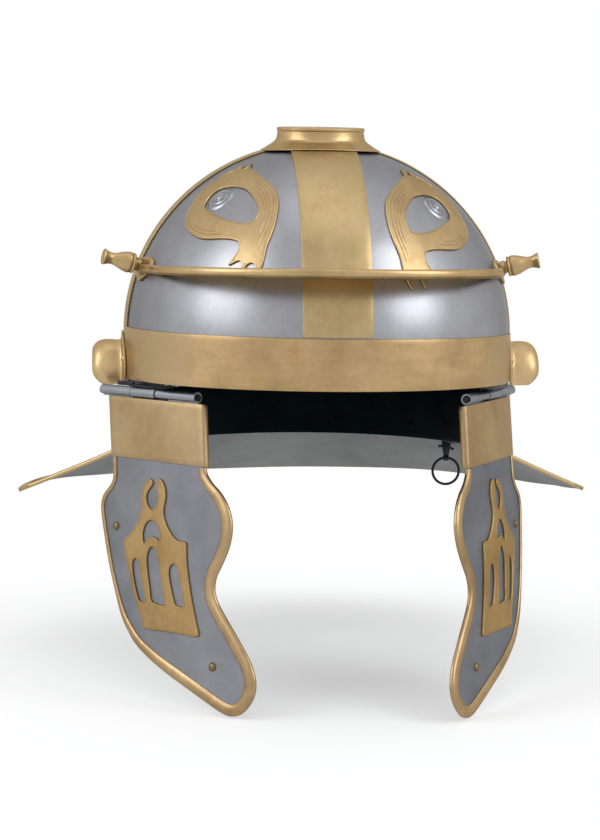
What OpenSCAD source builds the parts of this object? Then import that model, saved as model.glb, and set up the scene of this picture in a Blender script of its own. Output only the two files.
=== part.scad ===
// Imperial italic helmet with a raised steel bowl, brass trim, a brow guard and two hinged cheek
// pieces. Millimetres, +Z up, the face looks along -Y and the wearer's left is +X. The origin is
// the middle of the brow rim, where the wearer's head goes in.

/* [Bowl] */
// Outer width of the bowl
bowl_width = 201; // [190:0.5:212]
// Outer depth of the bowl, front to back
bowl_depth = 226; // [214:0.5:240]
// Height of the dome above its straight wall
dome_height = 98.5; // [92:0.5:108]
// Height of the straight wall above the brow rim
wall_height = 24; // [22:0.5:27]
// Depth of the nape below the brow rim
nape_drop = 41; // [36:0.5:46]
// Thickness of the steel sheet
steel = 1.2; // [1:0.1:1.6]
// Thickness of the brass sheet
brass = 0.9; // [0.7:0.1:1.2]
// Angle from the front at which the side rim starts down to the nape
ear_angle = 98; // [95:1:101]

/* [Neck guard] */
// Distance from side to side over the wing tips
guard_span = 316; // [300:1:330]
// Distance of the rear rim behind the middle of the bowl
guard_reach = 170; // [160:1:180]
// Distance of the wing tips behind the middle of the bowl
tip_back = 52; // [44:1:60]
// Height of the rim above the brow rim
guard_rim_height = -67; // [-74:0.5:-62]
// Width of the brass edging
guard_edge = 5; // [4:0.5:7]

/* [Bands] */
// Width of the strip from front to back
crown_width = 33.5; // [26:0.5:40]
// Width of the strips from crown to ears
side_width = 33.5; // [26:0.5:40]
// Height of the top edge of the brow band
band_top = 25; // [20:0.5:25]

/* [Crest holder] */
// Diameter of the socket
socket_dia = 45.6; // [38:0.2:50]
// Height of the socket above the strip it stands on
socket_height = 7.2; // [6:0.2:12]
// Distance of the socket in front of the middle of the bowl
crest_forward = 10; // [0:0.5:16]
// Diameter of the flared foot
foot_dia = 59; // [54:0.5:64]

/* [Brow guard] */
// Height of the middle of the guard's front bead
peak_height = 57; // [50:0.5:62]
// Distance that the guard stands off the bowl at the front
peak_reach = 20; // [14:0.5:26]
// Height of the bead along the guard's front edge
bead_height = 3.6; // [2.6:0.1:5]
// Diameter of the bulb of each finial
knob_dia = 10.5; // [8:0.1:12]

/* [Ear guards] */
// Distance that each ear guard stands off the side strip
ear_reach = 15; // [10:0.5:18]
// Width of each ear guard, front to back
ear_width = 30; // [26:0.5:32]
// Height of the top of each ear guard
ear_top = 19.4; // [18:0.2:21]

/* [Cheek pieces] */
// Length of each hinge
hinge_length = 70; // [66:0.5:74]
// Diameter of the hinge barrel
barrel_dia = 5; // [4.6:0.1:5.6]
// Diameter of the hinge pin
pin_dia = 2.2; // [1.8:0.1:2.4]
// Height of the hinge axis above the brow rim
hinge_height = -4.6; // [-5.4:0.1:-4.4]
// Angle of the right hinge from the fore-and-aft line
hinge_angle_right = 41; // [36:0.5:44]
// Angle of the left hinge from the fore-and-aft line
hinge_angle_left = 29.5; // [27:0.5:36]
// Rest angle of the right cheek piece, outward from straight down
rest_right = 6.5; // [0:0.5:12]
// Rest angle of the left cheek piece, outward from straight down
rest_left = 8; // [0:0.5:12]
// Radius to which the cheek plates are curved
cheek_radius = 500; // [300:10:800]
// Width of the folded brass edging on the cheek plates
cheek_edge = 4.6; // [3.5:0.1:6]

/* [Tie rings] */
// Outer diameter of each ring
ring_dia = 16.8; // [14:0.2:20]
// Diameter of the ring wire
ring_wire = 1.5; // [1.2:0.1:2]

/* [Display] */
// Piece to show, or all of them

/* [Hidden] */
half_w = bowl_width / 2;
half_d = bowl_depth / 2;
lift = 0.12;              // gap between layers of sheet
fit = 0.05;               // gap round pins and rivets
join = 0.3;               // gap between the edges of strips that meet
over = lift + brass;      // outside of the first layer of brass
steel_grey = [0.55, 0.55, 0.59];
dark_steel = [0.18, 0.18, 0.2];
brass_gold = [0.72, 0.58, 0.36];

// Surfaces

// A point on the bowl: angle t from the front, height h as degrees up the dome or, below zero,
// millimetres down the wall, and distance d outside the steel.
function bowl_at(t, h, d) =
  let (e = max(h, 0))
  [
    (half_w + d) * cos(e) * sin(t),
    -(half_d + d) * cos(e) * cos(t),
    wall_height + (dome_height + d) * sin(e) + min(h, 0)
  ];

// A point on a strip over the dome, at distance across from its middle line and angle e from the
// side where it starts. Below zero and above 180, e counts millimetres down the wall.
function crown_at(across, e, d) =
  let (k = sqrt(1 - pow(across / (half_w + d), 2)))
  let (a = min(max(e, 0), 180))
  [
    across,
    -(half_d + d) * k * cos(a),
    wall_height + (dome_height + d) * k * sin(a) + min(e, 0) - max(e - 180, 0)
  ];

function side_at(across, e, d) =
  let (k = sqrt(1 - pow(across / (half_d + d), 2)))
  let (a = max(e, 0))
  [
    (half_w + d) * k * cos(a),
    across,
    wall_height + (dome_height + d) * k * sin(a) + min(e, 0)
  ];

function flat_list(rows) = [for (r = rows) for (p = r) p];

// Triangles of a closed sheet between two grids of points with the same rows and columns
function sheet_faces(rows, cols) =
  let (last = rows - 1)
  let (edge = cols - 1)
  let (n = rows * cols)
  [
    for (r = [0:last - 1])
      for (c = [0:edge - 1])
        let (p = r * cols + c)
        let (q = p + cols)
        each [
          [p, q, q + 1],
          [p, q + 1, p + 1],
          [n + p, n + q + 1, n + q],
          [n + p, n + p + 1, n + q + 1]
        ],
    for (c = [0:edge - 1])
      let (p = last * cols + c)
      each [[c, c + 1, n + c + 1], [c, n + c + 1, n + c], [p + 1, p, n + p], [p + 1, n + p, n + p + 1]],
    for (r = [0:last - 1])
      let (p = r * cols)
      let (q = p + edge)
      each [
        [p + cols, p, n + p],
        [p + cols, n + p, n + p + cols],
        [q, q + cols, n + q + cols],
        [q, n + q + cols, n + q]
      ]
  ];

module sheet(outer, inner) {
  polyhedron(
    points = concat(flat_list(outer), flat_list(inner)),
    faces = sheet_faces(len(outer), len(outer[0])),
    convexity = 8
  );
}

// A smooth closed curve through a few points
function smooth(pts, steps) =
  let (n = len(pts))
  [
    for (i = [0:n - 1])
      let (p0 = pts[(i + n - 1) % n])
      let (p1 = pts[i])
      let (p2 = pts[(i + 1) % n])
      let (p3 = pts[(i + 2) % n])
      for (j = [0:steps - 1])
        let (u = j / steps)
        (2 * p1 + (p2 - p0) * u + (2 * p0 - 5 * p1 + 4 * p2 - p3) * u * u
          + (3 * p1 - p0 - 3 * p2 + p3) * u * u * u) / 2
  ];

// The same closed curve moved inward by a distance
function moved_in(pts, distance) =
  let (n = len(pts))
  [
    for (i = [0:n - 1])
      let (along = pts[(i + 1) % n] - pts[(i + n - 1) % n])
      pts[i] + distance * [-along.y, along.x] / norm(along)
  ];

// The straight wall's outline, moved out by d
function wall_outline(d) = [for (t = [0:3:357]) [(half_w + d) * sin(t), -(half_d + d) * cos(t)]];

module wall_body(d, low, high) {
  translate([0, 0, low])
    linear_extrude(high - low)
      polygon(wall_outline(d));
}

// The wearer's left as drawn, or its mirror image on the right
module on_side(side) {
  mirror([side < 0 ? 1 : 0, 0, 0])
    children();
}

// Bowl

bowl_cols = 72;
ear_run = 13;
function rim_drop(t) =
  let (back = min(t, 360 - t))
  let (u = min(max((back - ear_angle) / ear_run, 0), 1))
  nape_drop * u * u * (3 - 2 * u);

rise_step = 6.5;
bowl_rise = [for (i = [0:13]) i * rise_step];
function bowl_grid(d) = [
  for (i = [0:2])
    [
      for (c = [0:bowl_cols - 1])
        let (t = c * 360 / bowl_cols)
        bowl_at(t, -(wall_height + rim_drop(t)) * (3 - i) / 3, d)
    ],
  for (e = bowl_rise)
    [for (c = [0:bowl_cols - 1]) bowl_at(c * 360 / bowl_cols, e, d)]
];

module bowl_shell() {
  outer = bowl_grid(0);
  inner = bowl_grid(-steel);
  rows = len(outer);
  n = rows * bowl_cols;
  top = (rows - 1) * bowl_cols;
  faces = [
    for (c = [0:bowl_cols - 1])
      let (k = (c + 1) % bowl_cols)
      each [
        for (r = [0:rows - 2])
          let (p = r * bowl_cols + c)
          let (s = r * bowl_cols + k)
          let (q = p + bowl_cols)
          let (v = s + bowl_cols)
          each [[p, q, v], [p, v, s], [n + p, n + v, n + q], [n + p, n + s, n + v]],
        [c, k, n + k],
        [c, n + k, n + c],
        [top + k, top + c, 2 * n],
        [n + top + c, n + top + k, 2 * n + 1]
      ]
  ];
  peak = [[0, 0, wall_height + dome_height], [0, 0, wall_height + dome_height - steel]];
  polyhedron(points = concat(flat_list(outer), flat_list(inner), peak), faces = faces, convexity = 10);
}

// The frame of an applique on the dome: x sideways and outward, y up, z out of the bowl
module on_dome(turn, tilt) {
  rotate([90 - tilt, 0, turn])
    children();
}

eagle_turn_right = 32;
eagle_tilt_right = 40;
eagle_turn_left = 28.5;
eagle_tilt_left = 37.5;
boss_at = [17, 22.5];

// The point where a place on an applique's frame meets the steel
function dome_point(turn, tilt, at) =
  let (x_axis = [cos(turn), sin(turn), 0])
  let (z_axis = [sin(turn) * cos(tilt), -cos(turn) * cos(tilt), sin(tilt)])
  let (start = x_axis * at.x + cross(z_axis, x_axis) * at.y)
  let (p = [start.x / half_w, start.y / half_d, (start.z - wall_height) / dome_height])
  let (v = [z_axis.x / half_w, z_axis.y / half_d, z_axis.z / dome_height])
  start + z_axis * (-(p * v) + sqrt(pow(p * v, 2) - (v * v) * (p * p - 1))) / (v * v);

// Ripples pressed into the steel inside an eagle's outline, around one middle
module boss(side, turn, tilt) {
  p = dome_point(turn, tilt, boss_at);
  out = [p.x / pow(half_w, 2), p.y / pow(half_d, 2), (p.z - wall_height) / pow(dome_height, 2)];
  on_side(side)
    translate(p)
      rotate([0, 0, atan2(out.y, out.x)])
        rotate([0, atan2(norm([out.x, out.y]), out.z), 0])
          rotate_extrude($fn = 32)
            polygon([
              [0, -0.9],
              [7.6, -0.9],
              [7.2, -0.1],
              [6.3, 0.35],
              [5.2, 0.15],
              [4.2, 0.8],
              [3, 0.6],
              [1.8, 1.4],
              [0, 1.7]
            ]);
}

module bowl() {
  color(steel_grey)
    difference() {
      union() {
        bowl_shell();
        boss(-1, eagle_turn_right, eagle_tilt_right);
        boss(1, eagle_turn_left, eagle_tilt_left);
      }
      neck_rivet_holes();
      ear_rivet_holes();
      stud_hole(1);
      stud_hole(-1);
      crest_rivet_hole();
    }
}

// Neck guard

collar_height = 8;
collar_low = -nape_drop + 2;
guard_start = 105;
guard_sweep = 150;
guard_cols = 36;
function guard_in(s, d) =
  let (t = guard_start + guard_sweep * s)
  [(half_w + d) * sin(t), -(half_d + d) * cos(t)];
function guard_out(s) =
  let (v = 90 - 180 * s)
  [guard_span / 2 * sin(v), tip_back + (guard_reach - tip_back) * cos(v)];

// A point of the neck guard, s from wing to wing and q from the bowl to the rim
function guard_at(s, q, d, up) =
  let (a = guard_in(s, d))
  let (p = a + (guard_out(s) - a) * q)
  [p.x, p.y, collar_low + (guard_rim_height - collar_low) * pow(max(q, 0), 0.92) + up];

guard_steps = [1, 0.84, 0.68, 0.52, 0.36, 0.2, 0.07];
guard_half = steel * 0.55;
function guard_grid(d, up, stations) = [
  for (q = guard_steps)
    [for (s = stations) guard_at(s, q, d, up)],
  [for (s = stations) let (p = guard_in(s, d)) [p.x, p.y, collar_low + up]],
  [for (s = stations) let (p = guard_in(s, d)) [p.x, p.y, collar_low + collar_height]]
];

module neck_guard() {
  stations = [for (c = [0:guard_cols]) c / guard_cols];
  color(steel_grey)
    difference() {
      sheet(guard_grid(lift + steel, guard_half, stations), guard_grid(lift, -guard_half, stations));
      neck_rivet_holes();
      clip_slot(1);
      clip_slot(-1);
    }
}

// Brass over the top of the guard's edge and down its face
top_d = lift + steel;
function rim_strip(q0, q1, up) = [
  for (q = [q1, q0])
    [for (c = [0:2 * guard_cols]) guard_at(-0.003 + 1.006 * c / (2 * guard_cols), q, top_d, up)]
];
wing_steps = [1.012, 0.8, 0.6, 0.4, 0.2, 0.1];
function wing_width(q) = guard_edge * (0.0023 + 0.0013 * (1 - q));
function wing_strip(s0, s1, wide, up) = [
  for (q = wing_steps)
    [guard_at(s0, q, top_d, up), guard_at(s1 + wide * wing_width(q), q, top_d, up)]
];
function wing_mirror(rows) = [for (r = rows) [for (i = [1:-1:0]) [-r[i].x, r[i].y, r[i].z]]];

module neck_edging() {
  top = guard_half + lift;
  rim_q = guard_edge / 60;
  wing_top = wing_strip(-0.004, 0, 1, top + brass);
  wing_low = wing_strip(-0.004, 0, 1, top);
  lip_top = wing_strip(-0.004, -0.0012, 0, top + brass);
  lip_low = wing_strip(-0.004, -0.0012, 0, -guard_half);
  color(brass_gold)
    union() {
      sheet(rim_strip(1 - rim_q, 1.016, top + brass), rim_strip(1 - rim_q, 1.016, top));
      sheet(rim_strip(1.003, 1.016, top + brass), rim_strip(1.003, 1.016, -0.2));
      sheet(wing_top, wing_low);
      sheet(lip_top, lip_low);
      sheet(wing_mirror(wing_top), wing_mirror(wing_low));
      sheet(wing_mirror(lip_top), wing_mirror(lip_low));
    }
}

// Rivets

rivet_dia = 2.4;

// A rivet along +z whose head sits on z = 0 and whose peened end is at z = -deep
module rivet(head, rise, deep) {
  burr = rivet_dia * 0.85;
  rotate_extrude($fn = 32)
    polygon([
      [0, -deep - 0.7],
      [burr * 0.7, -deep - 0.6],
      [burr, -deep],
      [rivet_dia / 2, -deep],
      [rivet_dia / 2, 0],
      [head / 2, 0],
      for (i = [0:5]) [head / 2 * cos(i * 18), 0.2 + rise * sin(i * 18)],
      [0, 0.2 + rise]
    ]);
}

module rivet_hole(deep) {
  translate([0, 0, -deep])
    cylinder(h = deep + 3, d = rivet_dia + 2 * fit, $fn = 32);
}

neck_rivet_angles = [112, 139, 166, 194, 221, 248];
neck_rivet_height = collar_low + collar_height * 0.6;

// Turns z to point out of the wall at angle t from the front, and starts it at distance d
module on_wall(t, height, d) {
  p = [(half_w + d) * sin(t), -(half_d + d) * cos(t)];
  normal = [sin(t) / half_w, -cos(t) / half_d];
  translate([p.x, p.y, height])
    rotate([0, 0, atan2(normal.y, normal.x)])
      rotate([0, 90, 0])
        children();
}

module neck_rivets() {
  color(brass_gold)
    for (t = neck_rivet_angles)
      on_wall(t, neck_rivet_height, lift + steel + fit)
        rivet(5.4, 1.5, 2 * steel + lift + 5 * fit);
}

module neck_rivet_holes() {
  for (t = neck_rivet_angles)
    on_wall(t, neck_rivet_height, lift + steel)
      rivet_hole(5);
}

// Strips and band

module crown_strip() {
  rear_low = collar_low + collar_height + join;
  front = asin((band_top + join - wall_height) / dome_height);
  rear_wall = wall_height - rear_low;
  stations = [front, for (e = [4:4:180]) e, for (i = [1:3]) 180 + rear_wall * i / 3];
  cols = [for (i = [-3:3]) crown_width * i / 6];
  color(brass_gold)
    difference() {
      sheet(
        [for (e = stations) [for (x = cols) crown_at(x, e, over)]],
        [for (e = stations) [for (x = cols) crown_at(x, e, lift)]]
      );
      crest_rivet_hole();
    }
}

module side_strip(side) {
  stations = [
    -wall_height + join,
    -wall_height / 2,
    for (e = [0:4:20]) e,
    for (i = [1:15]) 20 + i * (side_end - 20) / 15
  ];
  cols = [for (i = [-3:3]) side_width * i / 6];
  color(brass_gold)
    difference() {
      on_side(side)
        sheet(
          [for (e = stations) [for (y = cols) side_at(y, e, over)]],
          [for (e = stations) [for (y = cols) side_at(y, e, lift)]]
        );
      ear_rivet_holes();
    }
}
side_end = acos((crown_width / 2 + join) / half_w);

band_low = -0.5;
band_end = 90 - asin((side_width / 2 + join) / half_d);
function band_arc(d) = [
  for (i = [-33:33])
    let (t = band_end * i / 33)
    [(half_w + d) * sin(t), -(half_d + d) * cos(t)]
];
function reversed(pts) = [for (i = [len(pts) - 1:-1:0]) pts[i]];

module brow_band() {
  color(brass_gold)
    difference() {
      translate([0, 0, band_low])
        linear_extrude(band_top - band_low)
          polygon(concat(band_arc(over), reversed(band_arc(lift))));
      ear_rivet_holes();
    }
}

// Crest holder

crest_z = wall_height + (dome_height + over) * sqrt(1 - pow(crest_forward / (half_d + over), 2));
crest_tilt = atan(pow((dome_height + over) / (half_d + over), 2) * crest_forward / (crest_z - wall_height));
socket_wall = 1.4;
socket_floor = 1.2;
slot_width = 5;
slot_length = 26;

// z along the socket's axis, with z = 0 on the strip
module on_crest() {
  translate([0, -crest_forward, crest_z])
    rotate([crest_tilt, 0, 0])
      children();
}

module crest_holder() {
  foot_r = foot_dia / 2;
  socket_r = socket_dia / 2;
  drop = dome_height * (1 - sqrt(1 - pow(foot_r / half_d, 2)));
  color(brass_gold)
    on_crest()
      difference() {
        rotate_extrude($fn = 96)
          polygon([
            [rivet_dia / 2 + fit, lift],
            [socket_r * 0.5, lift],
            [socket_r, lift - drop * 0.3],
            [foot_r, lift - drop],
            [foot_r + 0.2, lift - drop + 0.7],
            [foot_r - 0.8, lift - drop + 1.1],
            [socket_r + 2.5, -1.1],
            [socket_r + 0.7, -0.2],
            [socket_r, 0.9],
            [socket_r - 0.2, socket_height - 1.9],
            [socket_r + 0.1, socket_height - 1.5],
            [socket_r + 0.1, socket_height - 0.6],
            [socket_r - 0.5, socket_height],
            [0, socket_height],
            [0, socket_height - socket_wall],
            [socket_r - socket_wall - 0.6, socket_height - socket_wall],
            [socket_r - socket_wall - 0.6, socket_floor],
            [rivet_dia / 2 + fit, socket_floor]
          ]);
        translate([-slot_width / 2, -slot_length / 2, socket_height - 2 * socket_wall])
          cube([slot_width, slot_length, 3 * socket_wall]);
        translate([0, 0, socket_height - 2 * socket_wall])
          cylinder(h = 3 * socket_wall, d = 2.4 * slot_width, $fn = 48);
      }
}

crest_rivet_deep = steel + over + socket_floor + 6 * fit;

module crest_rivet() {
  color(brass_gold)
    on_crest()
      translate([0, 0, socket_floor + fit])
        rivet(6, 1.4, crest_rivet_deep);
}

module crest_rivet_hole() {
  on_crest()
    rivet_hole(6);
}

// Brow guard with its finials

stud_angle = 76;
stud_dia = 4;
tab_middle = 73.6;
tab_half = 6.6;
stud_rise = 12;
peak_k = sqrt(1 - pow((peak_height - wall_height) / dome_height, 2));
peak_ends = 64;
function peak_curve(d, reach) = [
  for (i = [-24:24])
    let (t = peak_ends * i / 24)
    let (out = d + reach * (1 - pow(abs(i) / 24, 2.6)))
    [(half_w * peak_k + out) * sin(t), -(half_d * peak_k + out) * cos(t)]
];
peak_gap = over + 0.5;
peak_edge = 3.8;
peak_plate = 1.6;
tab_lift = 1.6;
tab_thick = 1.5;

// The end tab lies on the dome around its stud. Its rows are heights and shares of its full width.
tab_rows = [[-6.2, 0.15], [-2.2, 1], [2.4, 1], [6.2, 0.8]];
function tab_tilt(height, d) =
  asin((peak_height + tab_lift - wall_height + height) / (dome_height + d));
function tab_grid(d) = [
  for (row = tab_rows)
    [for (c = [-4:4]) bowl_at(tab_middle + c * row[1] * tab_half / 4, tab_tilt(row[0], d), d)]
];

module brow_guard() {
  color(brass_gold)
    difference() {
      union() {
        translate([0, 0, peak_height - peak_plate / 2])
          linear_extrude(peak_plate)
            polygon(concat(peak_curve(peak_edge, peak_reach), reversed(peak_curve(peak_gap, 0))));
        translate([0, 0, peak_height - bead_height / 2])
          linear_extrude(bead_height)
            bead_shape();
        for (side = [-1, 1])
          on_side(side) {
            sheet(tab_grid(lift + tab_thick), tab_grid(lift));
            peak_arm();
          }
      }
      stud_hole(1);
      stud_hole(-1);
    }
}

function arm_side(d) = [
  for (i = [0:4])
    let (t = peak_ends - 2 + i * (stud_angle - 4 - peak_ends) / 4)
    [(half_w * peak_k + d) * sin(t), -(half_d * peak_k + d) * cos(t)]
];

module bead_shape() {
  polygon(concat(peak_curve(peak_edge, peak_reach), reversed(peak_curve(peak_edge - 2.2, peak_reach))));
}

// The narrow end of the guard, from the plate to the tab
module peak_arm() {
  translate([0, 0, peak_height - bead_height / 2])
    linear_extrude(bead_height)
      polygon(concat(arm_side(peak_edge + 0.15), reversed(arm_side(peak_gap - 0.15))));
}

// Puts z along the stud's axis, out of the dome, with z = 0 on the steel
module on_stud(side) {
  on_side(side)
    translate(bowl_at(stud_angle, asin((peak_height + tab_lift - wall_height) / dome_height), 0))
      rotate([0, 0, stud_angle - 90])
        rotate([0, 90 - stud_rise, 0])
          children();
}

module stud_hole(side) {
  on_stud(side)
    translate([0, 0, -6])
      cylinder(h = 12, d = stud_dia + 2 * fit, $fn = 48);
}

module finial(side) {
  shank = stud_dia / 2;
  bulb = knob_dia / 2;
  face = 3.2;
  color(brass_gold)
    on_stud(side)
      rotate_extrude($fn = 64)
        polygon([
          [0, -3.2],
          [1.4, -3.2],
          [shank, -2.4],
          [shank, face - 0.7],
          [shank + 0.9, face - 0.7],
          [shank + 1.1, face],
          [bulb - 0.7, face],
          [bulb - 0.2, face + 0.3],
          [bulb - 0.1, face + 1],
          [bulb - 0.4, face + 1.4],
          [bulb, face + 2],
          [bulb + 0.1, face + 3.2],
          [bulb - 0.1, face + 4.6],
          [bulb - 0.7, face + 6.4],
          [bulb - 1.5, face + 8.4],
          [bulb - 2.1, face + 10.4],
          [bulb - 2.3, face + 12],
          [bulb - 2.1, face + 13.4],
          [bulb - 1.6, face + 14.8],
          [bulb - 1.2, face + 15.8],
          [bulb - 1.3, face + 16.3],
          [bulb - 2, face + 16.5],
          [bulb - 2.6, face + 16.1],
          [0, face + 15.8]
        ]);
}

// Eagles

eagle_outline = [
  [10, 43.5], [12.5, 50.5], [6.5, 44], [1.4, 38.9], [-6.6, 32.4], [-13.8, 25.5], [-17.8, 19.2],
  [-20, 12.6], [-21.3, 5], [-21.4, -2], [-20.8, -9], [-21, -15.5], [-20.6, -20.5], [-18, -26],
  [-17.4, -20.4], [-15.4, -18.6], [-12.8, -20], [-10.4, -25.5], [-9.8, -19.4],
  [-8, -17.6], [-2.8, -19.6], [-6, -13], [-6, -9], [-3.4, -6.8],
  [4, -5.4], [12, -4.6], [19, -3], [26, 1], [31.6, 6], [35, 12], [36.5, 20], [36.3, 28],
  [34, 35.5], [29.8, 41.5], [25, 46.5], [19.4, 48.4], [14, 46]
];
eagle_hole = [
  [25.4, 20.4], [25, 25.8], [21.6, 30.2], [14, 30.6], [5.4, 27.8], [-1.6, 22.2],
  [-7, 15.6], [-10, 9.4], [-8.6, 3.8], [-1.6, 3.8], [7.4, 6.8], [16, 11.6], [22, 15.6]
];

// The sheet under both eagles has the bowl's own facets, so it lies on them
function eagle_patch(d) = [
  for (r = [1:11])
    [for (c = [0:13]) bowl_at(c * 360 / bowl_cols, r * rise_step, d)]
];

module eagle(side, turn, tilt) {
  color(brass_gold)
    on_side(side)
      intersection() {
        sheet(eagle_patch(over), eagle_patch(lift));
        on_dome(turn, tilt)
          linear_extrude(160)
            difference() {
              polygon(smooth(eagle_outline, 2));
              polygon(smooth(eagle_hole, 3));
            }
      }
}

// Ear guards

ear_r = ear_width / 2;
ear_mid = ear_top - ear_r;
ear_low = -3;
ear_flange = 5;
ear_shell = 1.1;
ear_rivet_r = ear_r + 2.4;
ear_rivet_spots = [for (way = [-1, 1]) [way * ear_rivet_r * cos(20), ear_mid + ear_rivet_r * sin(20)]];

// The hood's wall in a half section: how far out of the helmet, and how far from the arch's middle
function hood_section(grow) = [
  [-2, ear_r - ear_shell + grow],
  [ear_reach * 0.3, ear_r - ear_shell + 0.6 + grow],
  [ear_reach * 0.55, ear_r - ear_shell + 0.5 + grow],
  [ear_reach * 0.78, ear_r - ear_shell - 0.6 + grow],
  [ear_reach * 0.93, ear_r - ear_shell - 2.2 + grow],
  [ear_reach - (grow > 0 ? 0 : ear_shell), ear_r - ear_shell - 4.8 + grow * 0.2]
];

module hood_profile() {
  polygon([for (p = concat(hood_section(ear_shell), reversed(hood_section(0)))) [p.y, p.x]]);
}

module ear_guard(side) {
  color(brass_gold)
    on_side(side)
      difference() {
        union() {
          intersection() {
            difference() {
              wall_body(over + lift + brass, -0.3, ear_top + ear_flange);
              wall_body(over + lift, -1, ear_top + ear_flange + 1);
            }
            translate([half_w - 12, 0, 0])
              rotate([90, 0, 90])
                linear_extrude(20)
                  arch(ear_r + ear_flange, ear_r - ear_shell);
          }
          difference() {
            translate([half_w + over, 0, ear_mid])
              rotate([0, 90, 0])
                rotate([0, 0, 90])
                  rotate_extrude(angle = 180, $fn = 64)
                    hood_profile();
            wall_body(over + lift, ear_low - 1, ear_top + 3);
          }
          difference() {
            for (way = [0, 1])
              translate([half_w + over, 0, ear_mid])
                mirror([0, way, 0])
                  translate([0, 0, ear_low - ear_mid])
                    linear_extrude(ear_mid - ear_low)
                      rotate([0, 0, 90])
                        mirror([0, 1, 0])
                          hood_profile();
            wall_body(over + lift, ear_low - 1, ear_top + 3);
          }
        }
        ear_rivet_holes();
      }
}

module arch(outer, inner) {
  difference() {
    union() {
      translate([0, ear_mid])
        circle(r = outer, $fn = 64);
      translate([-outer, ear_low])
        square([2 * outer, ear_mid - ear_low]);
    }
    translate([0, ear_mid])
      circle(r = inner, $fn = 64);
    translate([-inner, ear_low - 1])
      square([2 * inner, ear_mid - ear_low + 1]);
    translate([-2 * outer, ear_low - 2 * outer])
      square([4 * outer, 2 * outer]);
  }
}

function ear_rivet_angle(y) = 90 + asin(y / half_d);

module ear_rivets() {
  color(brass_gold)
    for (side = [-1, 1])
      for (p = ear_rivet_spots)
        on_side(side)
          on_wall(ear_rivet_angle(p.x), p.y, over + lift + brass + fit)
            rivet(4.2, 1.2, steel + over + lift + brass + 6 * fit);
}

module ear_rivet_holes() {
  for (side = [-1, 1])
    for (p = ear_rivet_spots)
      on_side(side)
        on_wall(ear_rivet_angle(p.x), p.y, over + lift + brass)
          rivet_hole(6);
}

// Hinges

// Where the rear end of each hinge axis stands, beside the bowl and in front of its middle
hinge_rear_right = [half_w + 11.1, -0.223 * half_d];
hinge_rear_left = [half_w - 0.5, -0.2035 * half_d];
barrel_r = barrel_dia / 2;
knuckle_gap = 0.4;
knuckle_ends = [23, 42];
leaf = 1;
function hinge_rear(side) = side < 0 ? hinge_rear_right : hinge_rear_left;
function hinge_angle(side) = side < 0 ? hinge_angle_right : hinge_angle_left;
function rest_angle(side) = side < 0 ? rest_right : rest_left;

// x forward along the hinge axis, y outward, z up, with the rear end of the axis at the origin
module on_hinge(side) {
  p = hinge_rear(side);
  on_side(side)
    translate([p.x, p.y, hinge_height])
      rotate([0, 0, -90 - hinge_angle(side)])
        children();
}

// The same, swung out with the cheek piece as it hangs
module on_cheek(side) {
  on_hinge(side)
    rotate([rest_angle(side), 0, 0])
      children();
}

module knuckle(from, to, bore) {
  translate([from, 0, 0])
    rotate([0, 90, 0])
      difference() {
        cylinder(h = to - from, r = barrel_r, $fn = 48);
        translate([0, 0, -1])
          cylinder(h = to - from + 2, d = bore, $fn = 48);
      }
}

// The web seen from above: from the knuckle out to the wall, and along the foot of the upright
module web_shape(side, from, to, foot) {
  intersection() {
    polygon(wall_outline(-0.4));
    union() {
      over_hinge(side)
        translate([from, 0.3 - barrel_r])
          square([to - from, 30]);
      difference() {
        over_hinge(side)
          translate([from, -12])
            square([to - from, 36]);
        polygon(wall_outline(foot));
      }
    }
  }
}

module over_hinge(side) {
  p = hinge_rear(side);
  on_side(side)
    translate([p.x, p.y])
      rotate(-90 - hinge_angle(side))
        children();
}

// The fixed part of the hinge: its knuckle, a web under the rim and an upright inside the wall
module hinge_mount(side) {
  from = knuckle_ends[0] + knuckle_gap;
  to = knuckle_ends[1] - knuckle_gap;
  web_top = band_low - 0.2 - hinge_height;
  upright_in = -steel - lift;
  color(steel_grey)
    union() {
      on_hinge(side) {
        knuckle(from, to, pin_dia + 2 * fit);
        translate([from, -barrel_r, 0])
          cube([to - from, leaf, web_top]);
        translate([from, -barrel_r, web_top - leaf])
          cube([to - from, barrel_dia - 0.6, leaf]);
      }
      translate([0, 0, hinge_height + web_top - leaf * 0.85])
        linear_extrude(leaf * 0.7)
          web_shape(side, from + 0.2, to - 0.2, upright_in - leaf / 2);
      difference() {
        intersection() {
          wall_body(upright_in, hinge_height + web_top - leaf * 0.6, 14);
          on_hinge(side)
            translate([from, -40, 0])
              cube([to - from, 60, 40]);
        }
        wall_body(upright_in - leaf, -9, 20);
      }
    }
}

module hinge_pin(side) {
  head = 0.9;
  color(dark_steel)
    on_hinge(side)
      rotate([0, 90, 0])
        translate([0, 0, -head])
          rotate_extrude($fn = 48)
            polygon([
              [0, 0],
              [pin_dia / 2 + 0.5, 0],
              [pin_dia / 2 + 0.5, head - 0.1],
              [pin_dia / 2, head - 0.1],
              [pin_dia / 2, head + hinge_length + 0.1],
              [pin_dia / 2 + 0.5, head + hinge_length + 0.1],
              [pin_dia / 2 + 0.5, 2 * head + hinge_length],
              [0, 2 * head + hinge_length]
            ]);
}

// Cheek pieces

cheek_mid = 36;
bend_out = 0.9;
plate_half = steel / 2;
leaf_in = -plate_half - lift - leaf;

// A layer of the curved cheek piece, between two distances from the middle of the plate
module bent_layer(inside, outside) {
  translate([cheek_mid, bend_out - cheek_radius, -160])
    difference() {
      cylinder(h = 180, r = cheek_radius + outside, $fn = 360);
      translate([0, 0, -1])
        cylinder(h = 182, r = cheek_radius + inside, $fn = 360);
    }
}

// Keeps what an outline on the cheek piece covers, with its y down
module cut_to(reach) {
  translate([0, 20, 0])
    rotate([90, 0, 0])
      linear_extrude(20 + reach)
        mirror([0, 1, 0])
          children();
}

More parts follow.
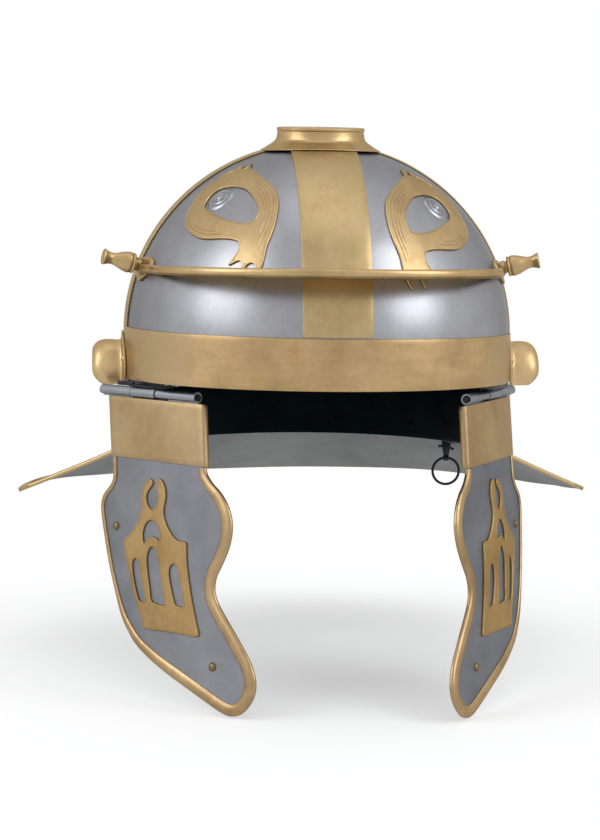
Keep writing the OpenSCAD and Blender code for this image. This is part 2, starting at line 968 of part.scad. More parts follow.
cheek_outline = smooth([
  [60, 4.8], [68.6, 4.8], [72.2, 5], [73.5, 7], [74.5, 13], [76.2, 23], [77.8, 32],
  [79.2, 36.5], [83.6, 41], [89.2, 45], [94, 50.5],
  [97, 57], [97.6, 63.5], [96.4, 70.5], [93.6, 77.8], [90.6, 84.5], [90.2, 90.8], [92.6, 96.6],
  [97.8, 102.8], [104, 109.4], [110.2, 116.4], [115.8, 123.4], [118.8, 130.4], [119, 136.6],
  [116.4, 142.4], [112.4, 146.6], [107, 148.2], [100.6, 147], [90.6, 143.4], [79, 139.2],
  [66.6, 134.8], [54, 129.6], [43.6, 124.2], [37, 118.6], [30.8, 111.6], [24.4, 100.2],
  [17.8, 87], [12.2, 73.4], [8.4, 63.1], [7.4, 57.8], [8.8, 53.2], [13, 48.8],
  [15.2, 44.4], [14.4, 37.5], [13.4, 32], [10.8, 23], [8.8, 13],
  [7.5, 7], [8.5, 5], [12, 4.8], [20, 4.8], [40, 4.8]
], 2);

module cheek_plate(side) {
  color(steel_grey)
    on_cheek(side)
      difference() {
        intersection() {
          bent_layer(-plate_half, plate_half);
          cut_to(60)
            polygon(cheek_outline);
        }
        cheek_rivet_holes();
      }
}

sheath_low = 33;
sheath_top = barrel_r + 1.2;
sheath_wall = 0.7;

module sheath_shape(grow) {
  polygon([
    [6.2 - grow, sheath_top],
    [73.9 + grow, sheath_top],
    [78.6 + grow, sheath_low],
    [12.6 - grow, sheath_low]
  ]);
}

module cheek_sheath(side) {
  inside = leaf_in - lift;
  outside = plate_half + lift;
  color(brass_gold)
    on_cheek(side)
      difference() {
        intersection() {
          bent_layer(inside - sheath_wall, outside + sheath_wall);
          cut_to(60)
            sheath_shape(1.1);
        }
        intersection() {
          bent_layer(inside, outside);
          cut_to(60)
            sheath_shape(1.1 - sheath_wall);
        }
      }
}

module leaf_shape() {
  polygon([
    [0, 0], [hinge_length, 0], [hinge_length, 6], [71, 22],
    [11.5, 22], [8.4, 3], [0, 2.8]
  ]);
}

module hinge_leaf(side) {
  color(steel_grey)
    on_cheek(side)
      difference() {
        union() {
          knuckle(0, knuckle_ends[0], pin_dia + 2 * fit);
          knuckle(knuckle_ends[1], hinge_length, pin_dia + 2 * fit);
          intersection() {
            bent_layer(leaf_in, -plate_half - lift);
            cut_to(60)
              leaf_shape();
          }
        }
        rotate([0, 90, 0])
          translate([0, 0, -1])
            cylinder(h = hinge_length + 2, d = pin_dia + 2 * fit, $fn = 48);
        translate([knuckle_ends[0], -9, -barrel_r - 0.5])
          cube([knuckle_ends[1] - knuckle_ends[0], 18, 9]);
      }
}

// The brass edging leaves the stretch under the sheath open
module below_sheath() {
  intersection() {
    children();
    translate([-20, sheath_low + join])
      square([160, 140]);
  }
}

edge_wall = 0.8;

module cheek_edging(side) {
  outer = moved_in(cheek_outline, -edge_wall - lift);
  clear = moved_in(cheek_outline, -lift);
  inner = moved_in(cheek_outline, cheek_edge);
  color(brass_gold)
    on_cheek(side)
      difference() {
        intersection() {
          bent_layer(-plate_half - lift - edge_wall, plate_half + lift + edge_wall);
          cut_to(60)
            below_sheath()
              difference() {
                polygon(outer);
                polygon(inner);
              }
        }
        intersection() {
          bent_layer(-plate_half - lift, plate_half + lift);
          cut_to(60)
            polygon(clear);
        }
      }
}

// The temple: two horns round a notch, a crescent, and a front with three doorways
temple_outline = [
  [43.6, 41.9], [40.2, 44.2], [38.4, 48], [38.2, 52], [38.8, 56], [38.4, 60], [36.8, 64], [34, 68.4],
  [31, 71.6], [27.8, 73.6], [29.1, 79.1], [31.1, 84], [34, 90.2], [37.9, 98.2], [42, 105.2],
  [45.8, 110.8], [48.2, 115.9], [58, 115.5], [66.4, 115.1], [74.7, 114.9], [82.8, 114.9], [84.8, 113.4],
  [83.4, 110], [81.1, 104.2], [78.8, 98.4], [76.5, 91.6], [74.3, 84.4], [72.4, 76.3], [71.4, 70.3],
  [66.9, 70.2], [63.2, 68.8], [60.3, 66.4], [57.6, 63.4], [55.6, 60.4], [54.6, 57.4], [54.7, 53.8],
  [55.2, 50], [54.5, 46.4], [52.7, 42.9], [50, 41.2], [48.4, 42.2], [48.1, 44.8], [49, 47.6],
  [49.9, 50.6], [49.5, 53.7], [48.3, 55.9], [46.5, 56.8], [44.4, 56.2], [42.5, 53.9], [41.6, 50.9],
  [42.3, 48.4], [44.1, 46.3], [45.4, 43.9]
];
temple_crescent = [
  [41.4, 70], [42, 66], [44, 63.2], [47.2, 62.3], [50.3, 63.5], [52.6, 66.6], [53.6, 71.4],
  [51.4, 70.6], [48.7, 70.1], [46.3, 70.8], [44.3, 72.5], [42.6, 74]
];
rear_door = [
  [37.4, 82.4], [35.7, 84], [35.9, 87], [37.2, 91.2], [39.2, 96], [41.4, 100.4], [43.5, 102.9],
  [46.9, 102.2], [46.2, 99.2], [44.3, 94.8], [42.6, 90.2], [41.1, 85.8], [39.4, 83]
];
middle_door = [
  [48.9, 75.2], [46.7, 76.9], [45.7, 80.4], [46.4, 85], [48.2, 91], [50.1, 97], [52, 101.9],
  [60.9, 102.6], [60.7, 100.6], [58.9, 96], [56.9, 90.2], [55.1, 84.4], [53.4, 79.8], [51.3, 76.6]
];
front_door = [
  [64, 82], [62.1, 83.9], [62, 86.8], [63, 90.4], [64.9, 95], [66.8, 99], [68.5, 101.4],
  [73.3, 101.6], [73.1, 98.8], [71.4, 94], [69.6, 89], [68.1, 84.9], [66.4, 82.7]
];

module temple(side) {
  color(brass_gold)
    on_cheek(side)
      intersection() {
        bent_layer(plate_half + lift, plate_half + lift + brass);
        cut_to(60)
          difference() {
            polygon(temple_outline);
            polygon(temple_crescent);
            polygon(rear_door);
            polygon(middle_door);
            polygon(front_door);
          }
      }
}

cheek_rivet_spots = [[20.2, 68], [94.4, 127.5]];
function bend_at(x, d) = bend_out - cheek_radius + sqrt(pow(cheek_radius + d, 2) - pow(x - cheek_mid, 2));

module at_cheek_rivets() {
  for (p = cheek_rivet_spots)
    translate([p.x, bend_at(p.x, plate_half), -p.y])
      rotate([-90, 0, -asin((p.x - cheek_mid) / cheek_radius)])
        children();
}

module cheek_rivets(side) {
  color(brass_gold)
    on_cheek(side)
      at_cheek_rivets()
        translate([0, 0, fit])
          rivet(4.2, 1.3, steel + 2 * fit);
}

module cheek_rivet_holes() {
  at_cheek_rivets()
    rivet_hole(5);
}

// Tie rings and their clips under the neck guard

clip_s = 0.167;
clip_q = 0.12;
clip_at = guard_at(clip_s, clip_q, 0, 0);
eye_drop = 9;
eye_width = 3;
clip_strip = 0.8;
ring_r = (ring_dia - ring_wire) / 2;
eye_r = ring_wire / 2 + ring_r - sqrt(ring_r * ring_r - eye_width * eye_width / 4) + fit;

// The slope of the guard where the clip goes through
clip_slope = guard_at(clip_s, clip_q + 0.05, 0, 0) - clip_at;
clip_fall = -clip_slope.z / norm([clip_slope.x, clip_slope.y]);
clip_way = atan2(clip_slope.y, clip_slope.x);

module clip_slot(side) {
  on_side(side)
    translate(clip_at)
      cube([eye_width + 4 * fit, 2 * clip_strip + 4 * fit, 12], center = true);
}

module ring_clip(side) {
  foot = 4;
  foot_up = guard_half + 0.65;
  color(dark_steel)
    on_side(side)
      translate(clip_at)
        union() {
          translate([0, 0, -eye_drop])
            rotate([0, 90, 0])
              difference() {
                cylinder(h = eye_width, r = eye_r + clip_strip, center = true, $fn = 48);
                cylinder(h = eye_width + 1, r = eye_r, center = true, $fn = 48);
              }
          translate([-eye_width / 2, -clip_strip, -eye_drop + eye_r + 0.2])
            cube([eye_width, 2 * clip_strip, eye_drop - eye_r + foot_up + 0.5]);
          rotate([0, 0, clip_way])
            rotate([0, atan(clip_fall), 0])
              translate([-foot, -eye_width / 2, foot_up])
                cube([2 * foot, eye_width, clip_strip]);
        }
}

module tie_ring(side) {
  color(dark_steel)
    on_side(side)
      translate(clip_at + [0, 0, -eye_drop - ring_r])
        rotate([90, 0, 0])
          rotate_extrude($fn = 72)
            translate([ring_r, 0])
              circle(d = ring_wire, $fn = 24);
}

bowl();
neck_guard();
neck_rivets();
neck_edging();
crown_strip();
side_strip(-1);  // side_strip_right
side_strip(1);  // side_strip_left
brow_band();
crest_holder();
crest_rivet();
brow_guard();
finial(-1);  // finial_right
finial(1);  // finial_left
eagle(-1, eagle_turn_right, eagle_tilt_right);  // eagle_right
eagle(1, eagle_turn_left, eagle_tilt_left);  // eagle_left
ear_guard(-1);  // ear_guard_right
ear_guard(1);  // ear_guard_left
ear_rivets();
hinge_mount(-1);  // hinge_mount_right
hinge_mount(1);  // hinge_mount_left
hinge_pin(-1);  // hinge_pin_right
hinge_pin(1);  // hinge_pin_left
hinge_leaf(-1);  // hinge_leaf_right
hinge_leaf(1);  // hinge_leaf_left
cheek_plate(-1);  // cheek_plate_right
cheek_plate(1);  // cheek_plate_left
cheek_sheath(-1);  // cheek_sheath_right
cheek_sheath(1);  // cheek_sheath_left
cheek_edging(-1);  // cheek_edging_right
cheek_edging(1);  // cheek_edging_left
temple(-1);  // temple_right
temple(1);  // temple_left
cheek_rivets(-1);  // cheek_rivets_right
cheek_rivets(1);  // cheek_rivets_left
ring_clip(-1);  // ring_clip_right
ring_clip(1);  // ring_clip_left
tie_ring(-1);  // tie_ring_right
tie_ring(1);  // tie_ring_left
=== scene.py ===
# %% [markdown]
# A helmet of an old imperial pattern in steel and brass sheet: a raised bowl, a sloping neck guard,
# a brow guard with two finials, appliqués, and two cheek pieces on real hinges. The engineering
# model comes in first as a fixed frame. Every visible sheet is then made again here with rolled
# edges, dents and seams, in the same place and in the same frame, and gets a finish of its own.

from math import acos, asin, atan, atan2, cos, degrees, pi, radians, sin, sqrt

import bmesh
import bpy
from mathutils import Matrix, Vector


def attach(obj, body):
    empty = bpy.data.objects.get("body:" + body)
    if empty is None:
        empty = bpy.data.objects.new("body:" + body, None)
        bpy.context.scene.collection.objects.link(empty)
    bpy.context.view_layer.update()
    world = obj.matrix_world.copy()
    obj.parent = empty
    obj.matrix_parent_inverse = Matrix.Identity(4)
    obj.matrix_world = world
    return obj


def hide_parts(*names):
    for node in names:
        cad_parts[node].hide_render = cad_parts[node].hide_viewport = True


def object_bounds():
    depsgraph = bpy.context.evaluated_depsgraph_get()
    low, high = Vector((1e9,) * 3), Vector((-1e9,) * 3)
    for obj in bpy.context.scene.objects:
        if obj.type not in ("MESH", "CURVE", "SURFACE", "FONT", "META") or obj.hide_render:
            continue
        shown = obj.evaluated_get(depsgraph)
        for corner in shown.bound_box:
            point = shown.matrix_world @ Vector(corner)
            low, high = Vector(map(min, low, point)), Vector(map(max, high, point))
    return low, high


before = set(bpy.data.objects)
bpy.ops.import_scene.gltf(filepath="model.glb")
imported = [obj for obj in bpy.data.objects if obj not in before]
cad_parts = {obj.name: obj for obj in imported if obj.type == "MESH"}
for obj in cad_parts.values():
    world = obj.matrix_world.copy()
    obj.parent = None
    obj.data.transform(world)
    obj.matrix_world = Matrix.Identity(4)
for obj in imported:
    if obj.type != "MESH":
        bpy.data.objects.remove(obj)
cad_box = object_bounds()
print("the engineering model has", len(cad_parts), "pieces")

# %% [markdown]
# All shapes below are worked out in millimetres, the unit a metalworker would use, and `piece`
# scales the finished mesh to metres. A sheet-metal edge catches the light because it is never
# perfectly sharp, so `round_edges` bevels every edge that turns by more than a given angle. The
# shading is smooth, and only edges that still turn sharply are marked sharp.

# %% Finish a mesh and hang it on its body
MM = 0.001
finishes = {}


def round_edges(bm, width, segments=3, angle=50):
    bm.normal_update()
    sharp = [e for e in bm.edges if len(e.link_faces) == 2 and e.calc_face_angle() > radians(angle)]
    bmesh.ops.bevel(
        bm, geom=sharp, offset=width, offset_type="OFFSET", segments=segments, profile=0.5,
        affect="EDGES", clamp_overlap=True, material=-1,
    )


def in_scene(name, data):
    obj = bpy.data.objects.new(name, data)
    bpy.context.scene.collection.objects.link(obj)
    return obj


def placed(bm, name):
    """Makes an object from a bmesh, and frees the bmesh."""
    mesh = bpy.data.meshes.new(name)
    bm.to_mesh(mesh)
    bm.free()
    return in_scene(name, mesh)


def piece(bm, name, finish, replaces=(), body="helmet", shading=32, second=None):
    """Makes a piece from a mesh in millimetres. Faces marked 1 take the second finish."""
    bmesh.ops.scale(bm, vec=(MM, MM, MM), verts=bm.verts)
    open_edges = sum(1 for e in bm.edges if len(e.link_faces) != 2)
    obj = placed(bm, name)
    mesh = obj.data
    mesh.polygons.foreach_set("use_smooth", [True] * len(mesh.polygons))
    mesh.set_sharp_from_angle(angle=radians(shading))
    mesh.materials.append(finishes[finish])
    if second:
        mesh.materials.append(finishes[second])
    else:
        mesh.polygons.foreach_set("material_index", [0] * len(mesh.polygons))
    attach(obj, body)
    if replaces:
        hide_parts(*replaces)
    print(f"{name}: {len(mesh.polygons)} faces on {body}, {open_edges} open edges")


# %% [markdown]
# A sheet that follows the bowl starts as a flat grid. Each of its vertices is then moved to its
# place by a function of two numbers from 0 to 1. `thicken` gives the wall its thickness on the
# inner side, so the outside stays where the function put it, and marks the new skin.

# %% Helpers for sheets
def thicken(bm, thickness):
    """Gives a sheet its wall. The new inner skin takes the piece's second finish."""
    made = bmesh.ops.solidify(bm, geom=bm.faces[:], thickness=thickness)["geom"]
    for face in made:
        if isinstance(face, bmesh.types.BMFace):
            face.material_index = 1


def grid(cols, rows, place):
    bm = bmesh.new()
    bmesh.ops.create_grid(bm, x_segments=cols, y_segments=rows, size=0.5)
    for v in bm.verts:
        v.co = place(v.co.x + 0.5, v.co.y + 0.5)
    return bm


def sheet(cols, rows, place, thickness, edge=0.3, behind=(0, 0, 0)):
    """A bent sheet. behind is any point on the side where the thickness goes."""
    bm = grid(cols, rows, place)
    bm.normal_update()
    middle = bm.faces[:][len(bm.faces) // 2]
    if middle.normal.dot(middle.calc_center_median() - Vector(behind)) < 0:
        bmesh.ops.reverse_faces(bm, faces=bm.faces)
    thicken(bm, thickness)
    round_edges(bm, edge)
    return bm


def join(bm, other):
    """Adds the mesh of another bmesh to bm, and frees the other."""
    mesh = bpy.data.meshes.new("joined")
    other.to_mesh(mesh)
    other.free()
    bm.from_mesh(mesh)
    bpy.data.meshes.remove(mesh)
    return bm


# %% [markdown]
# The sizes are those of the engineering model. The dome is half an ellipsoid on a straight oval
# wall, so one function gives any point on it: an angle from the front, a height in degrees up the
# dome, or in millimetres down the wall where it is negative, and a distance outside the steel.

# %% The bowl's form
HALF_W, HALF_D = 100.5, 113.0  # half the width and half the depth, outside the steel
DOME, WALL, NAPE = 98.5, 24.0, 41.0  # heights of the dome and wall, and drop of the rear edge
STEEL, BRASS = 1.2, 0.9
LIFT = 0.12  # gap between sheets
OVER = LIFT + BRASS
STRIP = 33.5  # width of the brass strips
GAP = 0.3  # between the brow band and the strips' edges
BAND_END = 90 - degrees(asin((STRIP / 2 + GAP) / HALF_D))


def oval(t, d, share=1):
    """A point t degrees round the bowl's outline or a smaller one, and d outside it."""
    t = radians(t)
    return (HALF_W * share + d) * sin(t), -(HALF_D * share + d) * cos(t)


def bowl_at(t, h, d):
    e = radians(max(h, 0))
    x, y = oval(t, d)
    return Vector((x * cos(e), y * cos(e), WALL + (DOME + d) * sin(e) + min(h, 0)))


def clamp(x, high=1):
    return min(max(x, 0), high)


def ease(x):
    x = clamp(x)
    return x * x * (3 - 2 * x)


def brow_rise(t):
    """How far the trimmed rim stands above a level line, from the right ear to the left."""
    u = (t / BAND_END + 1) / 2
    return 1 + 4.6 * u - 5.2 * u * u


def side_sign(side):
    return Matrix.Diagonal((side, 1, 1, 1))


print("the dome's top is at", WALL + DOME, "mm")

# %% [markdown]
# The object is seen from a metre away, a little to the wearer's right and from just above. The
# camera's place and its three directions were found by matching edges that are known to be level
# and a bowl that is known to be an ellipsoid.

# %% Camera
photo_h, focal_px = 840, 1887.0
camera_at = Vector((-103.71, -992.20, 73.21))
forward = Vector((0.0954045, 0.9908136, -0.0958458)).normalized()
right = Vector((0.9954378, -0.0948414, 0.0104236)).normalized()
up = right.cross(forward).normalized()

camera_data = bpy.data.cameras.new("camera")
camera_data.sensor_width = 36
camera_data.lens = focal_px * 36 / photo_h
camera_data.clip_end = 100
camera = in_scene("camera", camera_data)
rotation = Matrix((right, up, -forward)).transposed().to_4x4()
camera.matrix_world = Matrix.Translation(camera_at * MM) @ rotation
bpy.context.scene.camera = camera
print("lens", round(camera_data.lens, 2), "mm")

# %% [markdown]
# A finish starts from what the real surface is. Colours are written as sRGB hex values, as they
# would be picked from a chart, and one function turns them to the linear values that the shader
# wants. `node` adds one shader node with its settings and its inputs, and returns the output that
# goes on. A noise's scale is the number of its marks in a metre, so that 40 gives marks of 25 mm.
# Noise stays near its middle, so a Map Range node spreads 0.3 to 0.7 over the range that is wanted.

# %% Helpers for finishes
def linear(hex_colour):
    values = [int(hex_colour[i:i + 2], 16) / 255 for i in (1, 3, 5)]
    return [v / 12.92 if v <= 0.04045 else ((v + 0.055) / 1.055) ** 2.4 for v in values] + [1]


def node(tree, kind, inputs=(), out=0, **settings):
    """An input is a socket to link or a value. Inputs come in order, or by name or number."""
    n = tree.nodes.new("ShaderNode" + kind)
    for key, value in settings.items():
        setattr(n, key, value)
    for key, value in inputs.items() if isinstance(inputs, dict) else enumerate(inputs):
        if isinstance(value, bpy.types.NodeSocket):
            tree.links.new(value, n.inputs[key])
        else:
            n.inputs[key].default_value = value
    return n.outputs[out] if n.outputs else None


def new_finish(name):
    material = bpy.data.materials.new(name)
    material.use_nodes = True
    tree = material.node_tree
    tree.nodes.clear()
    finishes[name] = material
    return tree, node(tree, "TexCoord", out="Object")


def bare_metal(tree, colour, rough, tint="#FFFFFF", bumps=()):
    """Ends a metal finish. A bump is a pattern, its strength and its depth in metres."""
    under = {}
    for height, strength, depth in bumps:
        bump = {"Height": height, "Strength": strength, "Distance": depth, **under}
        under = {"Normal": node(tree, "Bump", bump)}
    inputs = {"Base Color": colour, "Roughness": rough, "Metallic": 1, **under}
    shader = node(tree, "BsdfPrincipled", {**inputs, "Specular Tint": linear(tint)})
    node(tree, "OutputMaterial", [shader])


# %% [markdown]
# The bowl is mild steel sheet, raised with a hammer, planished, and rubbed down with fine abrasive
# to a satin. That leaves marks of several sizes: broad differences of tone some 70 mm across, very
# shallow hammer waves of 25 mm, cloudy patches of 17 mm, dark flecks of 2.4 mm, and grit lines
# about 0.3 mm apart, drawn here at 0.8 mm so that they show. Polished metal keeps its default IOR.
# Its grey comes from the base colour.

# %% Satin steel
def satin_steel(name, light, dark, rough, wave, patina=0.25):
    tree, place = new_finish(name)
    stretched = node(tree, "Mapping", {"Vector": place, "Scale": (0.25, 0.25, 1)})
    cloud, grit, hammer, broad, flecks = [
        node(tree, "TexNoise", {
            "Vector": vector, "Scale": scale, "Detail": detail, "Roughness": fine,
        })
        for vector, scale, detail, fine in (
            (place, 60, 4, 0.55), (stretched, 1250, 2, 0.6), (place, 40, 1, 0.4),
            (place, 14, 1, 0.4), (place, 420, 3, 0.7),
        )
    ]
    tone = node(tree, "Math", [
        node(tree, "MapRange", (pattern, 0.3, 0.7, 0, 0.5)) for pattern in (cloud, broad)
    ], operation="ADD")
    colour = node(tree, "Mix", {0: tone, 6: linear(dark), 7: linear(light)}, 2, data_type="RGBA")
    wear = node(tree, "MapRange", (flecks, 0.55, 0.8, 0, patina))
    worn = node(tree, "Mix", {0: wear, 6: colour, 7: linear("#5A5A5E")}, 2, data_type="RGBA")
    satin = node(tree, "MapRange", (cloud, 0.3, 0.7, rough - 0.03, rough + 0.05))
    bare_metal(tree, worn, satin, "#B8B8B8", [(grit, 0.05, 0.0002), (hammer, wave, 0.002)])


satin_steel("satin_steel", "#A0A0A4", "#909094", 0.33, 0.05)
satin_steel("plain_steel", "#88898D", "#707175", 0.42, 0.06)
satin_steel("under_steel", "#989999", "#7C7D7D", 0.5, 0.05)
satin_steel("hinge_steel", "#989BA0", "#82858A", 0.42, 0.03, 0.5)
print("satin steel ready")

# %% [markdown]
# The inside of the bowl was never rubbed bright. It keeps the dark oxide of the heat, with a faint
# green-blue cast, and the wearer's shadow inside it is painted into its colour, so it reads as
# almost black. The hinge pins, the clips and the rings have a blackened finish that is a little
# lighter, and the same dark finish is painted shade on the hinge mounts, webs and leaves.

# %% Oxidised steel and painted shade
def oxidised_and_shaded(name, light, dark, rough):
    tree, place = new_finish(name)
    cloud = node(tree, "TexNoise", {"Vector": place, "Scale": 45, "Detail": 5, "Roughness": 0.6})
    tone = node(tree, "MapRange", (cloud, 0.3, 0.7, 0, 1))
    colour = node(tree, "Mix", {0: tone, 6: linear(dark), 7: linear(light)}, 2, data_type="RGBA")
    bare_metal(tree, colour, node(tree, "MapRange", (cloud, 0.3, 0.7, rough, rough + 0.12)))


# The inside: dark oxide, with the shade inside the bowl painted into the colour.
oxidised_and_shaded("inner_steel", "#101A1B", "#070C0D", 0.4)
# Blackened steel for rings, clips and pins, and painted shade on the hinge mounts, webs and leaves.
oxidised_and_shaded("black_steel_and_shade", "#3A3A40", "#222226", 0.34)
print("oxidised steel ready")

# %% [markdown]
# The brass is rolled sheet, cut out, dressed over the steel and hand polished. Rolling and rubbing
# leave long faint streaks along the sheet, and handling leaves warm brown stains some 10 to 30 mm
# across. Each brass piece takes the same recipe with its own streak direction. The brow band is
# paler at its ends. The cheek pieces' rivets are of old, browner brass. The same dark brass on the
# underside of the brow guard's bead is painted shade, and the ear guards' lighter brass is painted
# light for their broad highlight.

# %% Brass sheet
PALE_ENDS = (-0.074, -0.067, 0.7, 0), (0.074, 0.083, 0, 0.7)  # from and to in metres, and amounts


def brass(name, light, middle, dark, rough, streak, stain="#8A6A3E", amount=0.35, ends=None):
    tree, place = new_finish(name)
    along = node(tree, "Mapping", {"Vector": place, "Scale": streak})
    rolled, cloud, patches = [
        node(tree, "TexNoise", {
            "Vector": vector, "Scale": scale, "Detail": detail, "Roughness": fine,
        })
        for vector, scale, detail, fine in (
            (along, 300, 4, 0.65), (place, 38, 5, 0.6), (place, 75, 6, 0.7),
        )
    ]
    tone = node(tree, "Math", [
        node(tree, "MapRange", (pattern, 0.3, 0.7, 0, share))
        for pattern, share in ((rolled, 0.2), (cloud, 0.8))
    ], operation="ADD")
    tones = node(tree, "ValToRGB", [tone])
    stops = tones.node.color_ramp.elements
    stops.new(0.5)
    for stop, hex_colour in zip(stops, (dark, middle, light)):
        stop.color = linear(hex_colour)
    handled = node(tree, "MapRange", (patches, 0.5, 0.75, 0, amount))
    colour = node(tree, "Mix", {0: handled, 6: tones, 7: linear(stain)}, 2, data_type="RGBA")
    if ends:
        across = node(tree, "SeparateXYZ", [place])
        pale = node(tree, "Math", [
            node(tree, "MapRange", (across, *limits)) for limits in PALE_ENDS
        ], operation="ADD")
        colour = node(tree, "Mix", {0: pale, 6: colour, 7: linear(ends)}, 2, data_type="RGBA")
    polish = node(tree, "MapRange", (patches, 0.3, 0.7, rough - 0.04, rough + 0.1))
    bare_metal(tree, colour, polish, "#D4CCC0", [(rolled, 0.06, 0.0003), (cloud, 0.08, 0.002)])


brass("brass_sheet", "#BBA47C", "#B09A70", "#A38C64", 0.34, (1, 0.25, 0.25))
brass("brass_band", "#C6A97F", "#AF946B", "#957A54", 0.34, (0.15, 0.15, 1), "#946F40", 0.5,
      ends="#B39D7C")
brass("brass_turned", "#C2A97E", "#B2986E", "#9C825B", 0.33, (0.3, 0.3, 1))
# Lighter brass for the ear guards: painted light, for their broad highlight.
brass("brass_hood_painted_light", "#D0B78C", "#C0A67B", "#AA9068", 0.4, (0.3, 0.3, 1), "#9A7A4C", 0.4)
brass("brass_cheek", "#AF9974", "#A38C6A", "#937A58", 0.38, (1, 1, 0.3))
brass("brass_relief", "#BDA57D", "#AF966E", "#9A805C", 0.34, (1, 1, 0.5))
brass("brass_temple", "#AF9468", "#A08459", "#8B7049", 0.4, (1, 1, 0.5))
brass("brass_edge", "#BAA27A", "#A78D69", "#8C7353", 0.34, (1, 1, 0.5), "#6B5039", 0.4)
# Old brass for the cheek rivets. On the brow guard's bead it is painted shade.
brass("old_brass_and_shade", "#8C7A58", "#7A6848", "#65543A", 0.3, (1, 1, 1))
print("finishes:", ", ".join(finishes))

# %% [markdown]
# Four more helpers make nearly every piece. `loft` closes a grid into a tube and caps its ends.
# `swept` uses it to draw a section along a way. `turned` spins a half profile, as a lathe or a
# spinning tool would. `plate` cuts a flat sheet to an outline with holes, raises its rim into a
# small rolled bead, and cuts it into short cells so that `laid` can lay it on a curved surface.

# %% Helpers for the other shapes
def loft(cols, rows, place, caps=True):
    bm = grid(cols, rows, place)
    bmesh.ops.remove_doubles(bm, verts=bm.verts, dist=0.001)
    if caps:
        bmesh.ops.holes_fill(bm, edges=[e for e in bm.edges if e.is_boundary])
    bmesh.ops.recalc_face_normals(bm, faces=bm.faces)
    return bm


def swept(section, rows, place):
    n = len(section)
    return loft(n, rows, lambda u, v: place(section[round(u * n) % n], v))


def turned(profile, steps=72):
    bm = bmesh.new()
    verts = [bm.verts.new((r, 0, z)) for r, z in profile]
    edges = [bm.edges.new(pair) for pair in zip(verts, verts[1:])]
    bmesh.ops.spin(
        bm, geom=verts + edges, cent=(0, 0, 0), axis=(0, 0, 1), angle=2 * pi, steps=steps,
        use_merge=True,
    )
    bmesh.ops.remove_doubles(bm, verts=bm.verts, dist=0.001)
    bmesh.ops.recalc_face_normals(bm, faces=bm.faces)
    return bm


def plate(outline, holes=(), thickness=BRASS, bead=((0.1, 0.3), (0.2, 0.2), (0.3, 0.05)),
          depth=0.2, cell=3):
    """bead has the width and rise of each step of the rim. The inside sinks by depth."""
    bm = bmesh.new()
    for loop in (outline, *holes):
        verts = [bm.verts.new((x, y, 0)) for x, y in loop]
        for pair in zip(verts, verts[1:] + verts[:1]):
            bm.edges.new(pair)
    bmesh.ops.triangle_fill(
        bm, use_beauty=True, use_dissolve=False, edges=bm.edges[:], normal=(0, 0, 1)
    )
    made = bmesh.ops.extrude_face_region(bm, geom=bm.faces[:], use_keep_orig=True)["geom"]
    top = [f for f in made if isinstance(f, bmesh.types.BMFace)]
    raised = [v for v in made if isinstance(v, bmesh.types.BMVert)]
    start = thickness - sum(rise for _, rise in bead)
    bmesh.ops.translate(bm, verts=raised, vec=(0, 0, start))
    bmesh.ops.recalc_face_normals(bm, faces=bm.faces)
    steps = list(bead) + ([(0.3, 0), (0.12, -depth)] if depth else [])
    for width, rise in steps:
        bmesh.ops.inset_region(
            bm, faces=top, thickness=width, depth=rise, use_boundary=True, use_even_offset=False
        )
    low = [min(v.co[i] for v in bm.verts) for i in (0, 1)]
    high = [max(v.co[i] for v in bm.verts) for i in (0, 1)]
    for axis in (0, 1):
        count = int((high[axis] - low[axis]) / cell)
        for i in range(1, count + 1):
            at = low[axis] + (high[axis] - low[axis]) * i / (count + 1)
            bmesh.ops.bisect_plane(
                bm, geom=bm.verts[:] + bm.edges[:] + bm.faces[:], dist=0.0005,
                plane_co=(at if axis == 0 else 0, at if axis == 1 else 0, 0),
                plane_no=(axis == 0, axis == 1, 0),
            )
    bmesh.ops.triangulate(bm, faces=[f for f in bm.faces if len(f.verts) > 4])
    return bm


def laid(bm, place):
    """Moves every vertex of a flat piece to the surface it lies on."""
    for v in bm.verts:
        v.co = place(v.co.x, v.co.y, v.co.z)
    bmesh.ops.recalc_face_normals(bm, faces=bm.faces)
    return bm


def put(bm, matrix):
    bmesh.ops.transform(bm, matrix=matrix, verts=bm.verts)
    if matrix.determinant() < 0:
        bmesh.ops.reverse_faces(bm, faces=bm.faces)
    return bm


def curve(points, per, closed=True):
    """A smooth line through a few points."""
    n = len(points)
    out = []
    for i in range(n if closed else n - 1):
        p0, p1, p2, p3 = [
            Vector(points[(i + k) % n if closed else min(max(i + k, 0), n - 1)])
            for k in (-1, 0, 1, 2)
        ]
        for j in range(per):
            u = j / per
            out.append((
                2 * p1 + (p2 - p0) * u + (2 * p0 - 5 * p1 + 4 * p2 - p3) * u * u
                + (3 * p1 - p0 - 3 * p2 + p3) * u ** 3
            ) / 2)
    if not closed:
        out.append(Vector(points[-1]))
    return [tuple(p) for p in out]


def evenly(points, count):
    """The same open line as count steps of equal length."""
    points = [Vector(p) for p in points]
    run = [0]
    for a, b in zip(points, points[1:]):
        run.append(run[-1] + (b - a).length)
    out, k = [], 0
    for i in range(count + 1):
        want = run[-1] * i / count
        while k < len(points) - 2 and run[k + 1] < want:
            k += 1
        share = (want - run[k]) / max(run[k + 1] - run[k], 1e-9)
        out.append(points[k].lerp(points[k + 1], share))
    return out


def block(x, y, z, top=1):
    """A small box with rounded edges, top times as wide at its upper end."""
    bm = bmesh.new()
    bmesh.ops.create_cube(bm, size=1)
    for v in bm.verts:
        v.co = (v.co.x * x * (top if v.co.z > 0 else 1), v.co.y * y, v.co.z * z)
    round_edges(bm, 0.15, 2)
    return bm


def beside(a, spot, b, distance):
    """Spot, moved to the left of the way from a to b."""
    along = (Vector(b) - Vector(a)).normalized()
    return Vector(spot) + distance * Vector((-along.y, along.x))


def turn(angle, axis):
    return Matrix.Rotation(radians(angle), 4, axis)


def shift(x, y, z):
    return Matrix.Translation((x, y, z))
